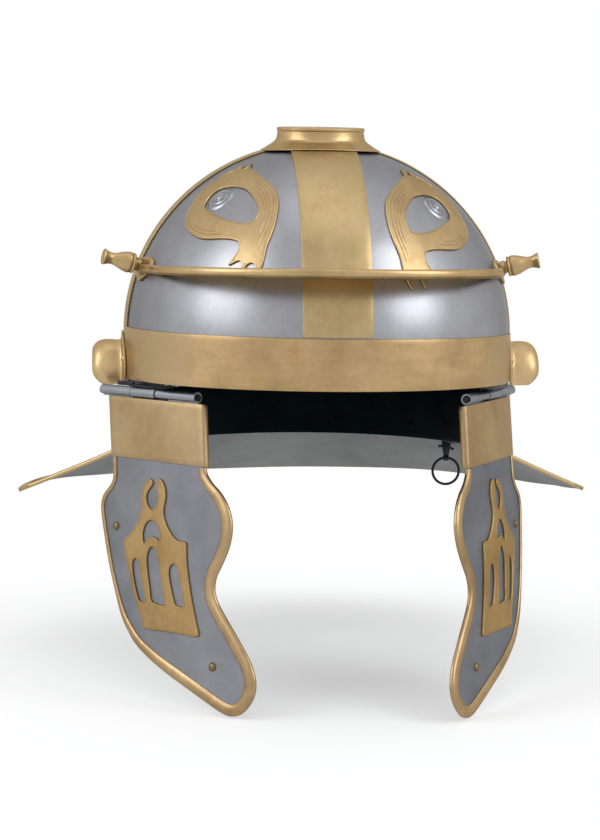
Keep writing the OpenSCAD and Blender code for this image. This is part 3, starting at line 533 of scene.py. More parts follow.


# %% [markdown]
# The bowl is one raised sheet: a straight wall at the bottom, a dome above, and a rear edge that
# drops behind the ears to the nape. The grid's sides meet at the middle of the face, and its top
# row is one point. The inner skin gets the near-black finish, whose darkness is partly painted
# shade, and so does the edge of the rim in front.
# The rim was trimmed by hand, so it rises a little over the brow. Each eagle frames a small boss,
# which is a set of ripples pressed round a knob, and these are turned pieces sunk into the dome.

# %% Bowl and bosses
def rim_drop(t):
    t = t if t < 180 else t - 360
    rear = ease((abs(t) - 98) / 13)
    cheek = ease((abs(t) - 45) / 12)
    return NAPE * rear + (1.6 * cheek + (0.3 - brow_rise(t)) * (1 - cheek)) * (1 - rear)


def bowl_place(u, v):
    if v > 0.25:
        return bowl_at(360 * u, 90 * (v - 0.25) / 0.75, 0)
    return bowl_at(360 * u, -(WALL + rim_drop(360 * u)) * (1 - v / 0.25), 0)


bm = loft(240, 120, bowl_place, caps=False)
thicken(bm, STEEL)
# The front rim edge takes the same near-black finish, with its painted shade.
for face in bm.faces:
    middle = face.calc_center_median()
    if middle.z < 1 and middle.y < 0:
        face.material_index = 1
round_edges(bm, 0.3, 2)
piece(bm, "bowl_shell", "satin_steel", ["bowl"], second="inner_steel")

EAGLE_TURN = {-1: (32, 40), 1: (28.5, 37.5)}  # degrees round the bowl, and up
BOSS_AT = 17, 22.5  # in the eagle's flat frame
SIDES = {-1: "right", 1: "left"}


def applique(side, x, y, d):
    """A point of an appliqué's flat frame on the dome, d above the steel."""
    yaw, tilt = (radians(a) for a in EAGLE_TURN[side])
    across = Vector((cos(yaw), sin(yaw), 0))
    out = Vector((sin(yaw) * cos(tilt), -cos(yaw) * cos(tilt), sin(tilt)))
    start = across * x + out.cross(across) * y - Vector((0, 0, WALL))
    size = Vector((HALF_W, HALF_D, DOME))
    p = Vector([a / b for a, b in zip(start, size)])
    v = Vector([a / b for a, b in zip(out, size)])
    reach = (-p.dot(v) + sqrt(p.dot(v) ** 2 - v.dot(v) * (p.dot(p) - 1))) / v.dot(v)
    point = start + out * reach
    normal = Vector([a / b ** 2 for a, b in zip(point, size)]).normalized()
    spot = point + Vector((0, 0, WALL)) + normal * d
    return Vector((spot.x * side, spot.y, spot.z)), Vector((normal.x * side, normal.y, normal.z))


boss_profile = curve([
    (0, 1.75), (0.9, 1.6), (1.6, 1.1), (2.1, 0.55), (2.9, 0.62), (3.6, 0.8), (4.3, 0.45), (5, 0.3),
    (5.8, 0.5), (6.5, 0.38), (7.2, 0), (7.8, -0.45),
], 4, closed=False)
for side, word in SIDES.items():
    spot, normal = applique(side, *BOSS_AT, 0)
    bm = turned(boss_profile + [(7.8, -0.8), (0, -0.8)])
    put(bm, shift(*spot) @ normal.to_track_quat("Z", "Y").to_matrix().to_4x4())
    piece(bm, "boss_" + word, "satin_steel", shading=60)

# %% [markdown]
# The neck guard is a second sheet. Its collar stands against the bowl, then the sheet bends over a
# radius of some 4 mm and slopes out and down to two pointed wings. Its rim was hammered by eye, so
# it waves a little. The underside is a rougher and slightly darker grey.

# %% Neck guard
COLLAR_LOW, COLLAR_TALL = -39.0, 8.0
COLLAR_FROM, COLLAR_TURN = 105, 150  # degrees round the bowl from the middle of the face
GUARD_HALF = 0.66  # from the middle of the guard's sheet up to its upper face
TIP_OUT, TIP_BACK, TAIL, RIM_Z = 158, 52, 118, -67  # half width, the rim's way back, its height


def guard_inner(s, d):
    return Vector(oval(COLLAR_FROM + COLLAR_TURN * s, d))


hammered = [(0, 0), (0.08, -1.8), (0.15, -2.6), (0.22, -1.8), (0.34, -0.3), (0.46, -0.6),
            (0.6, -1.3), (0.74, -1), (0.84, 0), (1, 0)]


def rim_wave(s):
    """How far the rim dips at s, which runs from 0 at the left tip to 1 at the right."""
    s = clamp(s)
    for (s0, z0), (s1, z1) in zip(hammered, hammered[1:]):
        if s <= s1:
            return z0 + (z1 - z0) * ease((s - s0) / (s1 - s0))


def guard_at(s, q, d, up):
    v = radians(90 - 180 * s)
    start = guard_inner(s, d)
    p = start + (Vector((TIP_OUT * sin(v), TIP_BACK + TAIL * cos(v))) - start) * q
    fall = (RIM_Z - COLLAR_LOW) * max(q, 0) ** 0.92 + rim_wave(s) * q * q
    return Vector((p.x, p.y, COLLAR_LOW + fall + up))


def guard_place(u, v):
    """The collar up to v = 0.1, its bend up to 0.25, and then the slope."""
    d = LIFT + STEEL
    if v > 0.25:
        return guard_at(u, 0.1 + 0.9 * (v - 0.25) / 0.75, d, GUARD_HALF)
    corner = Vector((*guard_inner(u, d), COLLAR_LOW + GUARD_HALF))
    high = corner + Vector((0, 0, 4))
    if v < 0.1:
        return high + Vector((0, 0, (COLLAR_TALL - 4 - GUARD_HALF) * (1 - v / 0.1)))
    k = (v - 0.1) / 0.15
    far = guard_at(u, 0.1, d, GUARD_HALF)
    return high.lerp(corner, k).lerp(corner.lerp(far, k), k)


bm = sheet(120, 60, guard_place, STEEL, 0.3, behind=(0, 60, -300))
piece(bm, "neck_guard_sheet", "satin_steel", ["neck_guard"], second="under_steel")

# %% [markdown]
# A brass strip is folded over the guard's edge. Three swept pieces make it: the rear rim and the
# front edge of either wing, each with a top flange, a round nose and a short lip.

# %% Edging of the neck guard
edging = curve([
    (4.9, 0.14), (4.95, 0.7), (4.6, 1.0), (2.4, 1.06), (0.4, 1.02), (-0.6, 0.75), (-1.0, 0.1),
    (-1.02, -0.7), (-0.9, -1.1), (-0.5, -1.2), (-0.16, -1.05), (-0.12, -0.4), (-0.1, 0.08),
    (2.4, 0.13),
], 2)


def folded(p, edge, inner, along):
    """A point of the section p at an edge point. inner is a point of the sheet beside the edge."""
    inward = (inner - edge).normalized()
    upward = inward.cross(along).normalized()
    upward *= 1 if upward.z > 0 else -1
    return edge + inward * p[0] + upward * p[1]


def rim_place(p, v):
    s = -0.004 + 1.008 * v
    edge, inner = [guard_at(s, q, LIFT + STEEL, GUARD_HALF) for q in (1, 0.94)]
    return folded(p, edge, inner, guard_at(s + 0.002, 1, 0, 0) - guard_at(s - 0.002, 1, 0, 0))


def wing_place(p, v):
    q = 0.1 + 0.915 * v
    edge, inner = [guard_at(s, q, LIFT + STEEL, GUARD_HALF) for s in (0, 0.02)]
    narrow = 0.75 + 0.25 * min((1 - v) * 12, 1) if p[0] > 0 else 1
    along = guard_at(0, q + 0.01, 0, 0) - guard_at(0, q - 0.01, 0, 0)
    return folded((p[0] * narrow, p[1]), edge, inner, along)


bm = swept(edging, 160, rim_place)
for side in (1, -1):
    join(bm, put(swept(edging, 40, wing_place), side_sign(side)))
piece(bm, "neck_guard_edging", "brass_sheet", ["neck_edging"])

# %% [markdown]
# Brass strips run from the brow over the crown to the nape, and up both sides from the rim. They
# are cut sheet with slightly rounded edges, and the crown strip leans a little at the front. The
# brow band lies between the side strips. Its edges follow the trimmed rim, so they aren't level.

# %% Strips and brow band
LEAN = 1.45  # the crown strip's front end is this far to the right
CROWN_START = 2.8  # its front end stands this far above the wall


def crown_at(across, e, d):
    across -= LEAN * (1 - clamp(e, 180) / 180)
    k = sqrt(1 - (across / (HALF_W + d)) ** 2)
    a = radians(clamp(e, 180))
    return Vector((
        across, -(HALF_D + d) * k * cos(a),
        WALL + (DOME + d) * k * sin(a) + min(e, 0) - max(e - 180, 0),
    ))


def side_at(across, e, d):
    k = sqrt(1 - (across / (HALF_D + d)) ** 2)
    a = radians(max(e, 0))
    return Vector(((HALF_W + d) * k * cos(a), across, WALL + (DOME + d) * k * sin(a) + min(e, 0)))


def strip(rows, at, low, high):
    """A strip from low to high, which are degrees up the dome or millimetres down a wall."""
    return sheet(
        10, rows, lambda u, v: at(STRIP * (u - 0.5), low + (high - low) * v, OVER), BRASS, 0.28
    )


crown_high = 180 + WALL - (COLLAR_LOW + COLLAR_TALL + GAP)
bm = strip(220, crown_at, degrees(asin(CROWN_START / DOME)), crown_high)
piece(bm, "crown_strip_sheet", "brass_sheet", ["crown_strip"])

side_high = degrees(acos((STRIP / 2 + GAP) / HALF_W))
for side, word in SIDES.items():
    bm = put(strip(120, side_at, GAP - WALL, side_high), side_sign(side))
    piece(bm, f"side_strip_{word}_sheet", "brass_sheet", ["side_strip_" + word])


def band_place(u, v):
    t = BAND_END * (2 * u - 1)
    low = brow_rise(t) - 0.5
    high = 27.2 - 1.5 * u - 0.6 * u * u
    return Vector((*oval(t, OVER), low + (high - low) * v))


bm = sheet(200, 10, band_place, BRASS, 0.35)
piece(bm, "brow_band_sheet", "brass_band", ["brow_band"])

# %% [markdown]
# The crest holder is a spun socket with a flared foot. It stands a little in front of the crown's
# middle, square to the strip there. Its lid has a slot with a round middle for the crest's foot.

# %% Crest holder
CREST_FORWARD, SOCKET_R = 10, 22.8
crest_z = WALL + (DOME + OVER) * sqrt(1 - (CREST_FORWARD / (HALF_D + OVER)) ** 2)
crest_slope = ((DOME + OVER) / (HALF_D + OVER)) ** 2 * CREST_FORWARD / (crest_z - WALL)
on_crest = shift(0, -CREST_FORWARD, crest_z) @ turn(degrees(atan(crest_slope)), "X")

foot = curve([
    (22.85, 2.2), (23.3, 1.1), (24.4, 0.1), (26.2, -0.9), (28.4, -1.95), (30, -2.6), (30.8, -2.9),
    (31, -3.2), (30.6, -3.5),
], 4, closed=False)
socket = [(10, 1.2), (21, 1.2), (21, 5.9), (21.3, 7.1), (22.3, 7.25), (22.75, 6.9), (22.8, 6.3),
          (22.75, 5.8), (22.4, 5.4), (22.45, 4.8), (22.65, 3)]
bm = turned([(0, 1.2)] + socket + foot + [(SOCKET_R, -0.9), (11.4, 0.14), (0, 0.14)], 128)
for v in bm.verts:  # the foot is dressed down at its sides, to lie on the dome
    share = max(v.co.xy.length - SOCKET_R, 0) / 7.2
    v.co.z -= 1.25 * share * (v.co.x / max(v.co.xy.length, 1)) ** 2


def arc(r, angles):
    return [(r * cos(radians(a)), r * sin(radians(a))) for a in angles]


half_slot = [(2.5, 5.5), (2.5, 13), (-2.5, 13), (-2.5, 5.5)]
round_part = arc(6, range(114, 247, 6))
slot_line = half_slot + round_part + [(-2.5, -13), (2.5, -13)] + [(-x, -y) for x, y in round_part]
lid = plate(arc(21.6, range(0, 360, 4)), [slot_line], 1.4, ((0.15, 0.15),), depth=0)
join(bm, put(lid, shift(0, 0, 5.75)))
piece(put(bm, on_crest), "crest_holder_spun", "brass_turned", ["crest_holder"], shading=40)

# %% [markdown]
# The brow guard is a curved plate whose outer edge is rolled into a bead, with painted shade in a
# darker brass underneath. Its ends run along the dome to two shield-shaped tabs, each held by the
# stud of a turned finial.

# %% Brow guard
PEAK_Z = 57.0
PEAK_OUT, PEAK_TURN = 20, 64  # how far it stands out in front, and the degrees where that ends
BEAD_TURN, WEB_TURN = 147, 130  # degrees round the bowl from end to end
BEAD_OFF, BEAD_THICK = 3.85, 1.28
TAB_TURN, TAB_HALF = 73.9, 11.6  # degrees round the bowl, and half the width
peak_k = sqrt(1 - ((PEAK_Z - WALL) / DOME) ** 2)
bar = curve([
    (0, -0.75), (-2.2, -0.8), (-2.7, -1.3), (-1.9, -1.75), (-0.9, -1.75), (-0.2, -1.2), (0, -0.2),
    (-0.1, 0.8), (-0.7, 1.55), (-1.7, 1.8), (-2.6, 1.3), (-2.6, 0.85),
], 2)[2:]


def guard_reach_at(t):
    return PEAK_OUT * (1 - min(abs(t) / PEAK_TURN, 1) ** 2.6)


def peak_point(t, d, z):
    return Vector((*oval(t, d, peak_k), PEAK_Z + z))


def bead_place(p, v):
    t = BEAD_TURN * (v - 0.5)
    return peak_point(t, BEAD_OFF + guard_reach_at(t) + p[0], p[1] * BEAD_THICK)


def web_place(p, v):
    t = WEB_TURN * (v - 0.5)
    return peak_point(t, 1.55 if p[0] < 0 else 2.2 + guard_reach_at(t), p[1])


bm = swept(bar, 220, bead_place)
# Painted shade: the bead's lower faces take the darker brass.
for f in bm.faces:
    f.material_index = int(f.calc_center_median().z < PEAK_Z - 0.7)
join(bm, swept([(-1, -0.8), (1, -0.8), (1, 0.8), (-1, 0.8)], 160, web_place))
shield = curve([
    (-0.25, 6.1), (-0.5, 5.9), (-0.85, 4.6), (-1, 2.4), (-1, -0.6), (-0.75, -2.8), (-0.3, -5),
    (0, -6.2), (0.3, -5), (0.75, -2.8), (1, -0.6), (1, 2.4), (0.85, 4.6), (0.5, 5.9), (0.25, 6.1),
], 3)
for side in (-1, 1):
    outline = [(x * TAB_HALF, y) for x, y in shield]
    tab = plate(outline, (), 1.5, ((0.15, 0.35), (0.3, 0.2), (0.4, 0.05)), depth=0)

    def on_tab(x, y, z):
        tilt = degrees(asin((PEAK_Z - WALL + y) / (DOME + z)))
        return bowl_at(TAB_TURN + degrees(x / 100), tilt, LIFT + 0.05 + z)

    join(bm, put(laid(tab, on_tab), side_sign(side)))
piece(bm, "brow_guard_rolled", "brass_turned", ["brow_guard"], shading=38, second="old_brass_and_shade")

# %% [markdown]
# Each finial is turned from bar: a washer, a bell that is widest near the helmet, a slim neck and a
# dished end.

# %% Finials
STUD_TURN, STUD_RISE = 76, 12  # degrees round the bowl, and up from level
stud = [(0, -3.2), (1.4, -3.2), (2, -2.4), (2, 1.5), (3.3, 1.5), (3.5, 2), (3.5, 4), (3, 4.3),
        (3, 4.9), (3.6, 5.2)]
bell = curve([
    (4.2, 5.2), (5, 5.45), (5.25, 6), (5.05, 6.55), (4.85, 6.8), (5.15, 7.2), (5.35, 8.1),
    (5.2, 9.4), (4.7, 11.4), (3.9, 13.5), (3.2, 15.5), (2.95, 17.1), (3.1, 18.5), (3.6, 20),
    (4, 21), (4.05, 21.5), (3.6, 21.8), (2.9, 21.55),
], 4, closed=False)
stud_foot = bowl_at(STUD_TURN, degrees(asin((PEAK_Z + 1.6 - WALL) / DOME)), 0)
on_stud = shift(*stud_foot) @ turn(STUD_TURN - 90, "Z") @ turn(90 - STUD_RISE, "Y")
for side, word in SIDES.items():
    bm = put(turned(stud + bell + [(0, 21)]), side_sign(side) @ on_stud)
    piece(bm, f"finial_{word}_turned", "brass_turned", ["finial_" + word], shading=42)

# %% [markdown]
# The eagles are cut from brass sheet and laid on the dome. A rolled bead runs along each outline,
# and rows of short chased lines follow the back, the neck and the wing. The lines are thin swept
# ridges in a darker, tarnished brass.

# %% Eagles
eagle_outline = [
    (13.6, 46), (12.9, 49), (12.3, 52), (11.2, 48.8), (9.6, 45.8), (6.2, 43), (1.4, 38.9),
    (-6.6, 32.4), (-13.8, 25.5), (-17.8, 19.2), (-20, 12.6), (-21.3, 5), (-21.4, -2), (-20.8, -9),
    (-21, -15.5), (-20.6, -20.5), (-18, -26), (-17.4, -20.4), (-15.4, -18.6), (-12.8, -20),
    (-10.4, -25.5), (-9.8, -19.4), (-8, -17.6), (-2.8, -19.6), (-6, -13), (-6, -9), (-3.4, -6.8),
    (4, -5.4), (12, -4.6), (19, -3), (26, 1), (31.6, 6), (35, 12), (36.5, 20), (36.3, 28),
    (34, 35.5), (29.8, 41.5), (25, 45.9), (21.6, 47.3), (19.6, 48.2), (18.8, 50.6), (18.4, 53),
    (17, 50), (15.4, 47),
]
eagle_hole = [
    (25.4, 20.4), (25, 25.8), (21.6, 30.2), (14, 30.6), (5.4, 27.8), (-1.6, 22.2), (-7, 15.6),
    (-10, 9.4), (-8.6, 3.8), (-1.6, 3.8), (7.4, 6.8), (16, 11.6), (22, 15.6),
]


LINE_WIDE, LINE_TALL, LINE_STEPS = 0.75, 0.2, 24


def stroke(points, place):
    """A thin chased line that tapers at both ends."""
    line = evenly(curve(points, 4, closed=False), LINE_STEPS)

    def at(p, v):
        here = round(v * LINE_STEPS)
        i = min(here, LINE_STEPS - 1)
        slim = LINE_WIDE * (0.15 + 0.85 * sin(pi * min(max(v, 0.02), 0.98)) ** 0.5)
        spot = beside(line[i], line[here], line[i + 1], p[0] * slim)
        return place(spot.x, spot.y, p[1] * LINE_TALL)

    return swept([(-0.5, 0), (0, 1), (0.5, 0), (0, -1)], LINE_STEPS, at)


back = curve(eagle_outline[6:15], 6, closed=False)
wing = curve(eagle_outline[27:36], 6, closed=False)
breast = curve(eagle_outline[36:42], 6, closed=False)


def part_beside(line, distance, first, last):
    """Part of an open line, moved to its left, with a quarter of its points."""
    return [
        beside(line[i - 1], line[i], line[i + 1], distance)
        for i in range(1, len(line) - 1) if first <= i / len(line) <= last
    ][::4]


chased = [part_beside(*settings) for settings in (
    (back, 2.5, 0, 0.97), (back, 4.3, 0.04, 0.9), (back, 6.1, 0.1, 0.8), (back, 7.9, 0.16, 0.42),
    (wing, 2.6, 0.04, 0.96), (wing, 4.4, 0.1, 0.5), (wing, 4.5, 0.62, 0.95),
    (breast, 2.6, 0.05, 0.9),
)]
for side, word in SIDES.items():
    def on_bowl(x, y, z):
        return applique(side, x, y, LIFT + z)[0]

    def on_eagle(x, y, z):
        return applique(side, x, y, LIFT + BRASS - 0.19 + z)[0]

    bm = plate(curve(eagle_outline, 4), [curve(eagle_hole, 4)])
    piece(laid(bm, on_bowl), f"eagle_{word}_sheet", "brass_relief", ["eagle_" + word])
    bm = stroke(chased[0], on_eagle)
    for line in chased[1:]:
        join(bm, stroke(line, on_eagle))
    piece(bm, f"eagle_{word}_chasing", "brass_edge")

# %% [markdown]
# Each ear guard is one raised piece: a flat flange on the band, a tight fillet, and a hood that
# stands out and closes in again at its rounded outer lip. It runs up one side of the ear, over it
# and down the other side.

# %% Ear guards
EAR_MID, EAR_LOW = 4.4, -3.0  # heights of the arch's middle and of the hood's two ends
hood = curve([
    (1.02, 20), (1.08, 17.5), (1.4, 15.8), (2.6, 15.1), (5, 15.3), (7.6, 15.4), (10, 15.1),
    (12, 14.3), (13.5, 13), (14.5, 11.3), (14.9, 10.2),
], 3, closed=False)


def ear_place(u, v):
    out, r = hood[round(v * (len(hood) - 1))]
    if u < 0.14:
        y, z = r, EAR_LOW + (EAR_MID - EAR_LOW) * u / 0.14
    elif u > 0.86:
        y, z = -r, EAR_LOW + (EAR_MID - EAR_LOW) * (1 - u) / 0.14
    else:
        a = pi * (u - 0.14) / 0.72
        y, z = r * cos(a), EAR_MID + r * sin(a)
    low = clamp((EAR_MID + 1 - z) / 8.4)
    y *= 1 - 0.1 * low ** 2 * min(out / 6, 1)
    out = 1.02 + (out - 1.02) * (1.1 - 0.36 * low ** 2.4)
    wall = (HALF_W + OVER) * sqrt(1 - (y / (HALF_D + OVER)) ** 2) + LIFT
    flat = HALF_W + OVER
    return Vector((wall + (flat - wall) * min(out / 8, 1) + out, y, z))


for side, word in SIDES.items():
    bm = sheet(76, len(hood) - 1, ear_place, 1.0, 0.3, behind=(60, 0, -2))
    piece(put(bm, side_sign(side)), f"ear_guard_{word}_raised", "brass_hood_painted_light",
          ["ear_guard_" + word], shading=40)

# %% [markdown]
# Rivets have low domed heads. The peened ends inside the helmet take the sheet's near-black finish,
# with its painted shade.

# %% Rivets on the helmet
EAR_RIVET_R, EAR_RIVET_UP = 17.4, 20  # millimetres and degrees from the middle of the hood's arch


def dome_head(width, rise, sink=0.4):
    half = [(width / 2 * cos(radians(a)), rise * sin(radians(a))) for a in range(0, 91, 15)]
    return turned([(0, -sink), (width / 2, -sink)] + half, 32)


def on_wall(t, height, d):
    yaw = atan2(-cos(radians(t)) / HALF_D, sin(radians(t)) / HALF_W)
    return shift(*oval(t, d), height) @ turn(degrees(yaw), "Z") @ turn(90, "Y")


heads, ends = bmesh.new(), bmesh.new()
for t in (112, 139, 166, 194, 221, 248):
    high = COLLAR_LOW + COLLAR_TALL * 0.6
    join(heads, put(dome_head(5.4, 1.5), on_wall(t, high, LIFT + STEEL)))
    join(ends, put(dome_head(4, 0.35), on_wall(t, high, -STEEL) @ turn(180, "X")))
piece(heads, "neck_rivet_heads", "brass_turned", ["neck_rivets"], shading=60)
piece(ends, "neck_rivet_ends", "inner_steel", shading=60)

heads = bmesh.new()
for side in (-1, 1):
    for way in (-1, 1):
        across = way * EAR_RIVET_R * cos(radians(EAR_RIVET_UP))
        high = EAR_MID + EAR_RIVET_R * sin(radians(EAR_RIVET_UP))
        at = on_wall(90 + degrees(asin(across / HALF_D)), high, OVER + LIFT + BRASS + 0.15)
        join(heads, put(dome_head(4.2, 1.2, 0.8), side_sign(side) @ at))
piece(heads, "ear_rivet_heads", "brass_turned", ["ear_rivets"], shading=60)
crest_head = put(dome_head(6, 1.4), on_crest @ shift(0, 0, 1.25))
piece(crest_head, "crest_rivet_head", "brass_turned", ["crest_rivet"], shading=60)

# %% [markdown]
# The hinges are coils of sheet round a pin. Each knuckle is drawn as a real coil of a little over
# one turn, so its end face shows the sheet's edge. The helmet's knuckle in the middle hangs on a
# web under the rim. The cheek's two knuckles belong to a leaf, which goes down inside the brass
# fold. Web and leaf are near black, as painted shade in the gap between rim and fold. A hinge's
# frame has x along the pin and y outward.

# %% Hinges
HINGE = {-1: ((111.6, -25.2), 41, 6.5), 1: ((100, -23), 29.5, 8)}  # place, turn, lean of the cheek
SHADE_WEB_FROM, SHADE_WEB_TO = {-1: 11, 1: 4}, 23  # along the pin
HINGE_Z, BARREL, LEAF = -4.6, 2.8, 1.0
COIL_SHEET, COIL_SLACK = 0.78, 0.85  # the sheet, and how far the coil's end lies inside its start


def on_hinge(side):
    (x, y), angle, _ = HINGE[side]
    return side_sign(side) @ shift(x, y, HINGE_Z) @ turn(-90 - angle, "Z")


def on_cheek(side):
    return on_hinge(side) @ turn(HINGE[side][2], "X")


def coil_point(a, inner):
    r = BARREL - COIL_SLACK * clamp((a - 300) / 55) - (COIL_SHEET if inner else 0)
    return (r * sin(radians(180 + a)), r * cos(radians(180 + a)))


coil = [coil_point(a, False) for a in range(0, 430, 9)]
coil += [coil_point(a, True) for a in range(423, -1, -9)]


def knuckle(low, high):
    return swept(coil, 1, lambda p, v: Vector((low + (high - low) * v, *p)))


CHEEK_MID, BEND_OUT, CHEEK_R = 36.0, 0.9, 500.0
HALF_PLATE = STEEL / 2


def bent(x, v, d):
    """A point on the bent cheek piece: v millimetres down, d outside the middle of its plate."""
    return Vector((x, BEND_OUT - CHEEK_R + sqrt((CHEEK_R + d) ** 2 - (x - CHEEK_MID) ** 2), -v))


def on_plate(flat, d):
    """Lays a flat piece on the bent cheek piece, d outside the middle of its plate."""
    return laid(flat, lambda x, y, z: bent(x, -y, d + z))


def cheek_part(bm, side, name, finish, replaced, shading=40, second=None):
    word = SIDES[side]
    piece(put(bm, on_cheek(side)), name.format(word), finish, [replaced + "_" + word],
          "cheek_piece_" + word, shading, second)


leaf_shape = [
    (0.2, -0.3), (22.9, -0.3), (22.9, -3.2), (42.1, -3.2), (42.1, -0.3), (69.8, -0.3), (69.8, -6),
    (71, -22), (11.5, -22), (8.4, -3), (0.2, -2.8),
]
for side, word in SIDES.items():
    leaf = plate(leaf_shape, (), LEAF, ((0.1, 0.1),), depth=0, cell=8)
    on_plate(leaf, -HALF_PLATE - LIFT - LEAF)
    shade_web = block(SHADE_WEB_TO - SHADE_WEB_FROM[side], 1.2, 2.2)
    put(shade_web, shift((SHADE_WEB_TO + SHADE_WEB_FROM[side]) / 2, -0.3, 4.1))
    # Leaf and web take the dark finish: painted shade in the gap under the rim.
    for f in (*leaf.faces, *shade_web.faces):
        f.material_index = 1
    bm = join(join(knuckle(0, 23), knuckle(42, 70)), leaf)
    cheek_part(bm, side, "hinge_leaf_{}_coiled", "hinge_steel", "hinge_leaf", second="black_steel_and_shade")
    bm = join(put(knuckle(23.4, 40.8), turn(180, "X")), shade_web)
    piece(put(bm, on_hinge(side)), "hinge_coil_" + word, "hinge_steel", shading=40,
          second="black_steel_and_shade")

# %% [markdown]
# A cheek piece is a steel plate, slightly bent round the face. Its outline runs in to the mouth and
# out again to a broad lobe over the jaw.

# %% Cheek plates
cheek_points = [
    (60, 4.8), (68.6, 4.8), (72.2, 5), (73.5, 7), (74.5, 13), (76.2, 23), (77.8, 32), (79.2, 36.5),
    (83.6, 41), (89.2, 45), (94, 50.5), (97, 57), (97.6, 63.5), (96.4, 70.5), (93.6, 77.8),
    (90.6, 84.5), (90.2, 90.8), (92.6, 96.6), (97.8, 102.8), (104, 109.4), (110.2, 116.4),
    (115.8, 123.4), (118.8, 130.4), (119, 136.6), (116.4, 142.4), (112.4, 146.6), (107, 148.2),
    (100.6, 147), (90.6, 143.4), (79, 139.2), (66.6, 134.8), (54, 129.6), (43.6, 124.2),
    (37, 118.6), (30.8, 111.6), (24.4, 100.2), (17.8, 87), (12.2, 73.4), (8.4, 63.1), (7.4, 57.8),
    (8.8, 53.2), (13, 48.8), (15.2, 44.4), (14.4, 37.5), (13.4, 32), (10.8, 23), (8.8, 13),
    (7.5, 7), (8.5, 5), (12, 4.8), (20, 4.8), (40, 4.8),
]
cheek_line = curve(cheek_points, 4)
for side in SIDES:
    bm = plate([(x, -v) for x, v in cheek_line], (), STEEL, ((0.1, 0.1),), depth=0, cell=6)
    on_plate(bm, -HALF_PLATE)
    cheek_part(bm, side, "cheek_plate_{}_bent", "plain_steel", "cheek_plate", 32)

# %% [markdown]
# The head of each cheek piece is wrapped in a fold of brass, a flattened tube with round front and
# rear edges. A brass channel covers the rest of the edge. Its front face is a soft bead that is
# wide at the mouth and narrow behind.

# %% Folded heads and edging
FOLD_OUT, FOLD_IN = 1.42, -2.54
fold_mid, fold_half = (FOLD_OUT + FOLD_IN) / 2, (FOLD_OUT - FOLD_IN) / 2
round_side = [(1, a) for a in range(-90, 91, 15)] + [(-1, a) for a in range(90, 271, 15)]
fold = []
for (sign_a, a), (sign_b, b) in zip(round_side, round_side[1:] + round_side[:1]):
    fold.append((sign_a, fold_half * cos(radians(a)), fold_half * sin(radians(a))))
    if sign_a != sign_b:
        for k in range(1, 24):
            share = sign_a + (sign_b - sign_a) * k / 24
            fold.append((share, 0, fold_half * sin(radians(a))))


def fold_place(p, v):
    down = 2.86 + 30.14 * v
    low = 5.1 + 6.4 * v
    high = 75 + 4.7 * v
    middle, half = (low + high) / 2, (high - low) / 2 - fold_half * 0.75
    return bent(middle + half * p[0] + 0.75 * p[1], down, fold_mid + p[2])


channel = curve([
    (4.7, 0.74), (4.65, 0.98), (4.2, 1.2), (3.2, 1.44), (2, 1.52), (0.8, 1.44), (-0.2, 1.16),
    (-0.75, 0.7), (-0.92, 0), (-0.75, -0.7), (-0.2, -1.16), (0.8, -1.42), (2, -1.46), (3.1, -1.4),
    (3.6, -1.15), (3.62, -0.76), (1.8, -0.74), (0.06, -0.7), (0.04, 0), (0.06, 0.7), (2.4, 0.72),
], 2)
EDGE_STEPS = 260
below = [i for i, p in enumerate(cheek_line) if p[1] > 33.4]  # the fold's lower edge is at 33
edge_line = evenly(cheek_line[below[0]:below[-1] + 1], EDGE_STEPS)


def edge_place(p, v):
    i = round(v * EDGE_STEPS)
    before, at, after = edge_line[max(i - 2, 0)], edge_line[i], edge_line[min(i + 2, EDGE_STEPS)]
    front = clamp((at.x - 40) / 30)
    at_mouth, at_rear = 0.6 + 0.4 * min((at.y - 33) / 18, 1), 0.42 + 0.33 * clamp((at.y - 100) / 22)
    wide = front * at_mouth + (1 - front) * at_rear
    spot = beside(before, at, after, p[0] * wide if p[0] > 0 else p[0])
    return bent(spot.x, spot.y, p[1] * (1 if p[0] > 3 else 1 - 0.1 * (1 - wide)))


for side in SIDES:
    bm = swept(fold, 12, fold_place)
    round_edges(bm, 0.25, 2, 60)
    cheek_part(bm, side, "cheek_fold_{}", "brass_cheek", "cheek_sheath")
    bm = swept(channel, EDGE_STEPS, edge_place)
    cheek_part(bm, side, "cheek_channel_{}", "brass_edge", "cheek_edging")

# %% [markdown]
# The temple on each cheek piece is cut sheet again, with a bead along every edge.

# %% Temples and cheek rivets
temple_edge = [
    (43.6, 41.9), (40.2, 44.2), (38.4, 48), (38.2, 52), (38.8, 56), (38.4, 60), (36.8, 64),
    (34, 68.4), (31, 71.6), (27.8, 73.6), (29.1, 79.1), (31.1, 84), (34, 90.2), (37.9, 98.2),
    (42, 105.2), (45.8, 110.8), (48.2, 115.9), (58, 115.5), (66.4, 115.1), (74.7, 114.9),
    (82.8, 114.9), (84.8, 113.4), (83.4, 110), (81.1, 104.2), (78.8, 98.4), (76.5, 91.6),
    (74.3, 84.4), (72.4, 76.3), (71.4, 70.3), (66.9, 70.2), (63.2, 68.8), (60.3, 66.4),
    (57.6, 63.4), (55.6, 60.4), (54.6, 57.4), (54.7, 53.8), (55.2, 50), (54.5, 46.4), (52.7, 42.9),
    (50, 41.2), (48.4, 42.2), (48.1, 44.8), (49, 47.6), (49.9, 50.6), (49.5, 53.7), (48.3, 55.9),
    (46.5, 56.8), (44.4, 56.2), (42.5, 53.9), (41.6, 50.9), (42.3, 48.4), (44.1, 46.3),
    (45.4, 43.9),
]
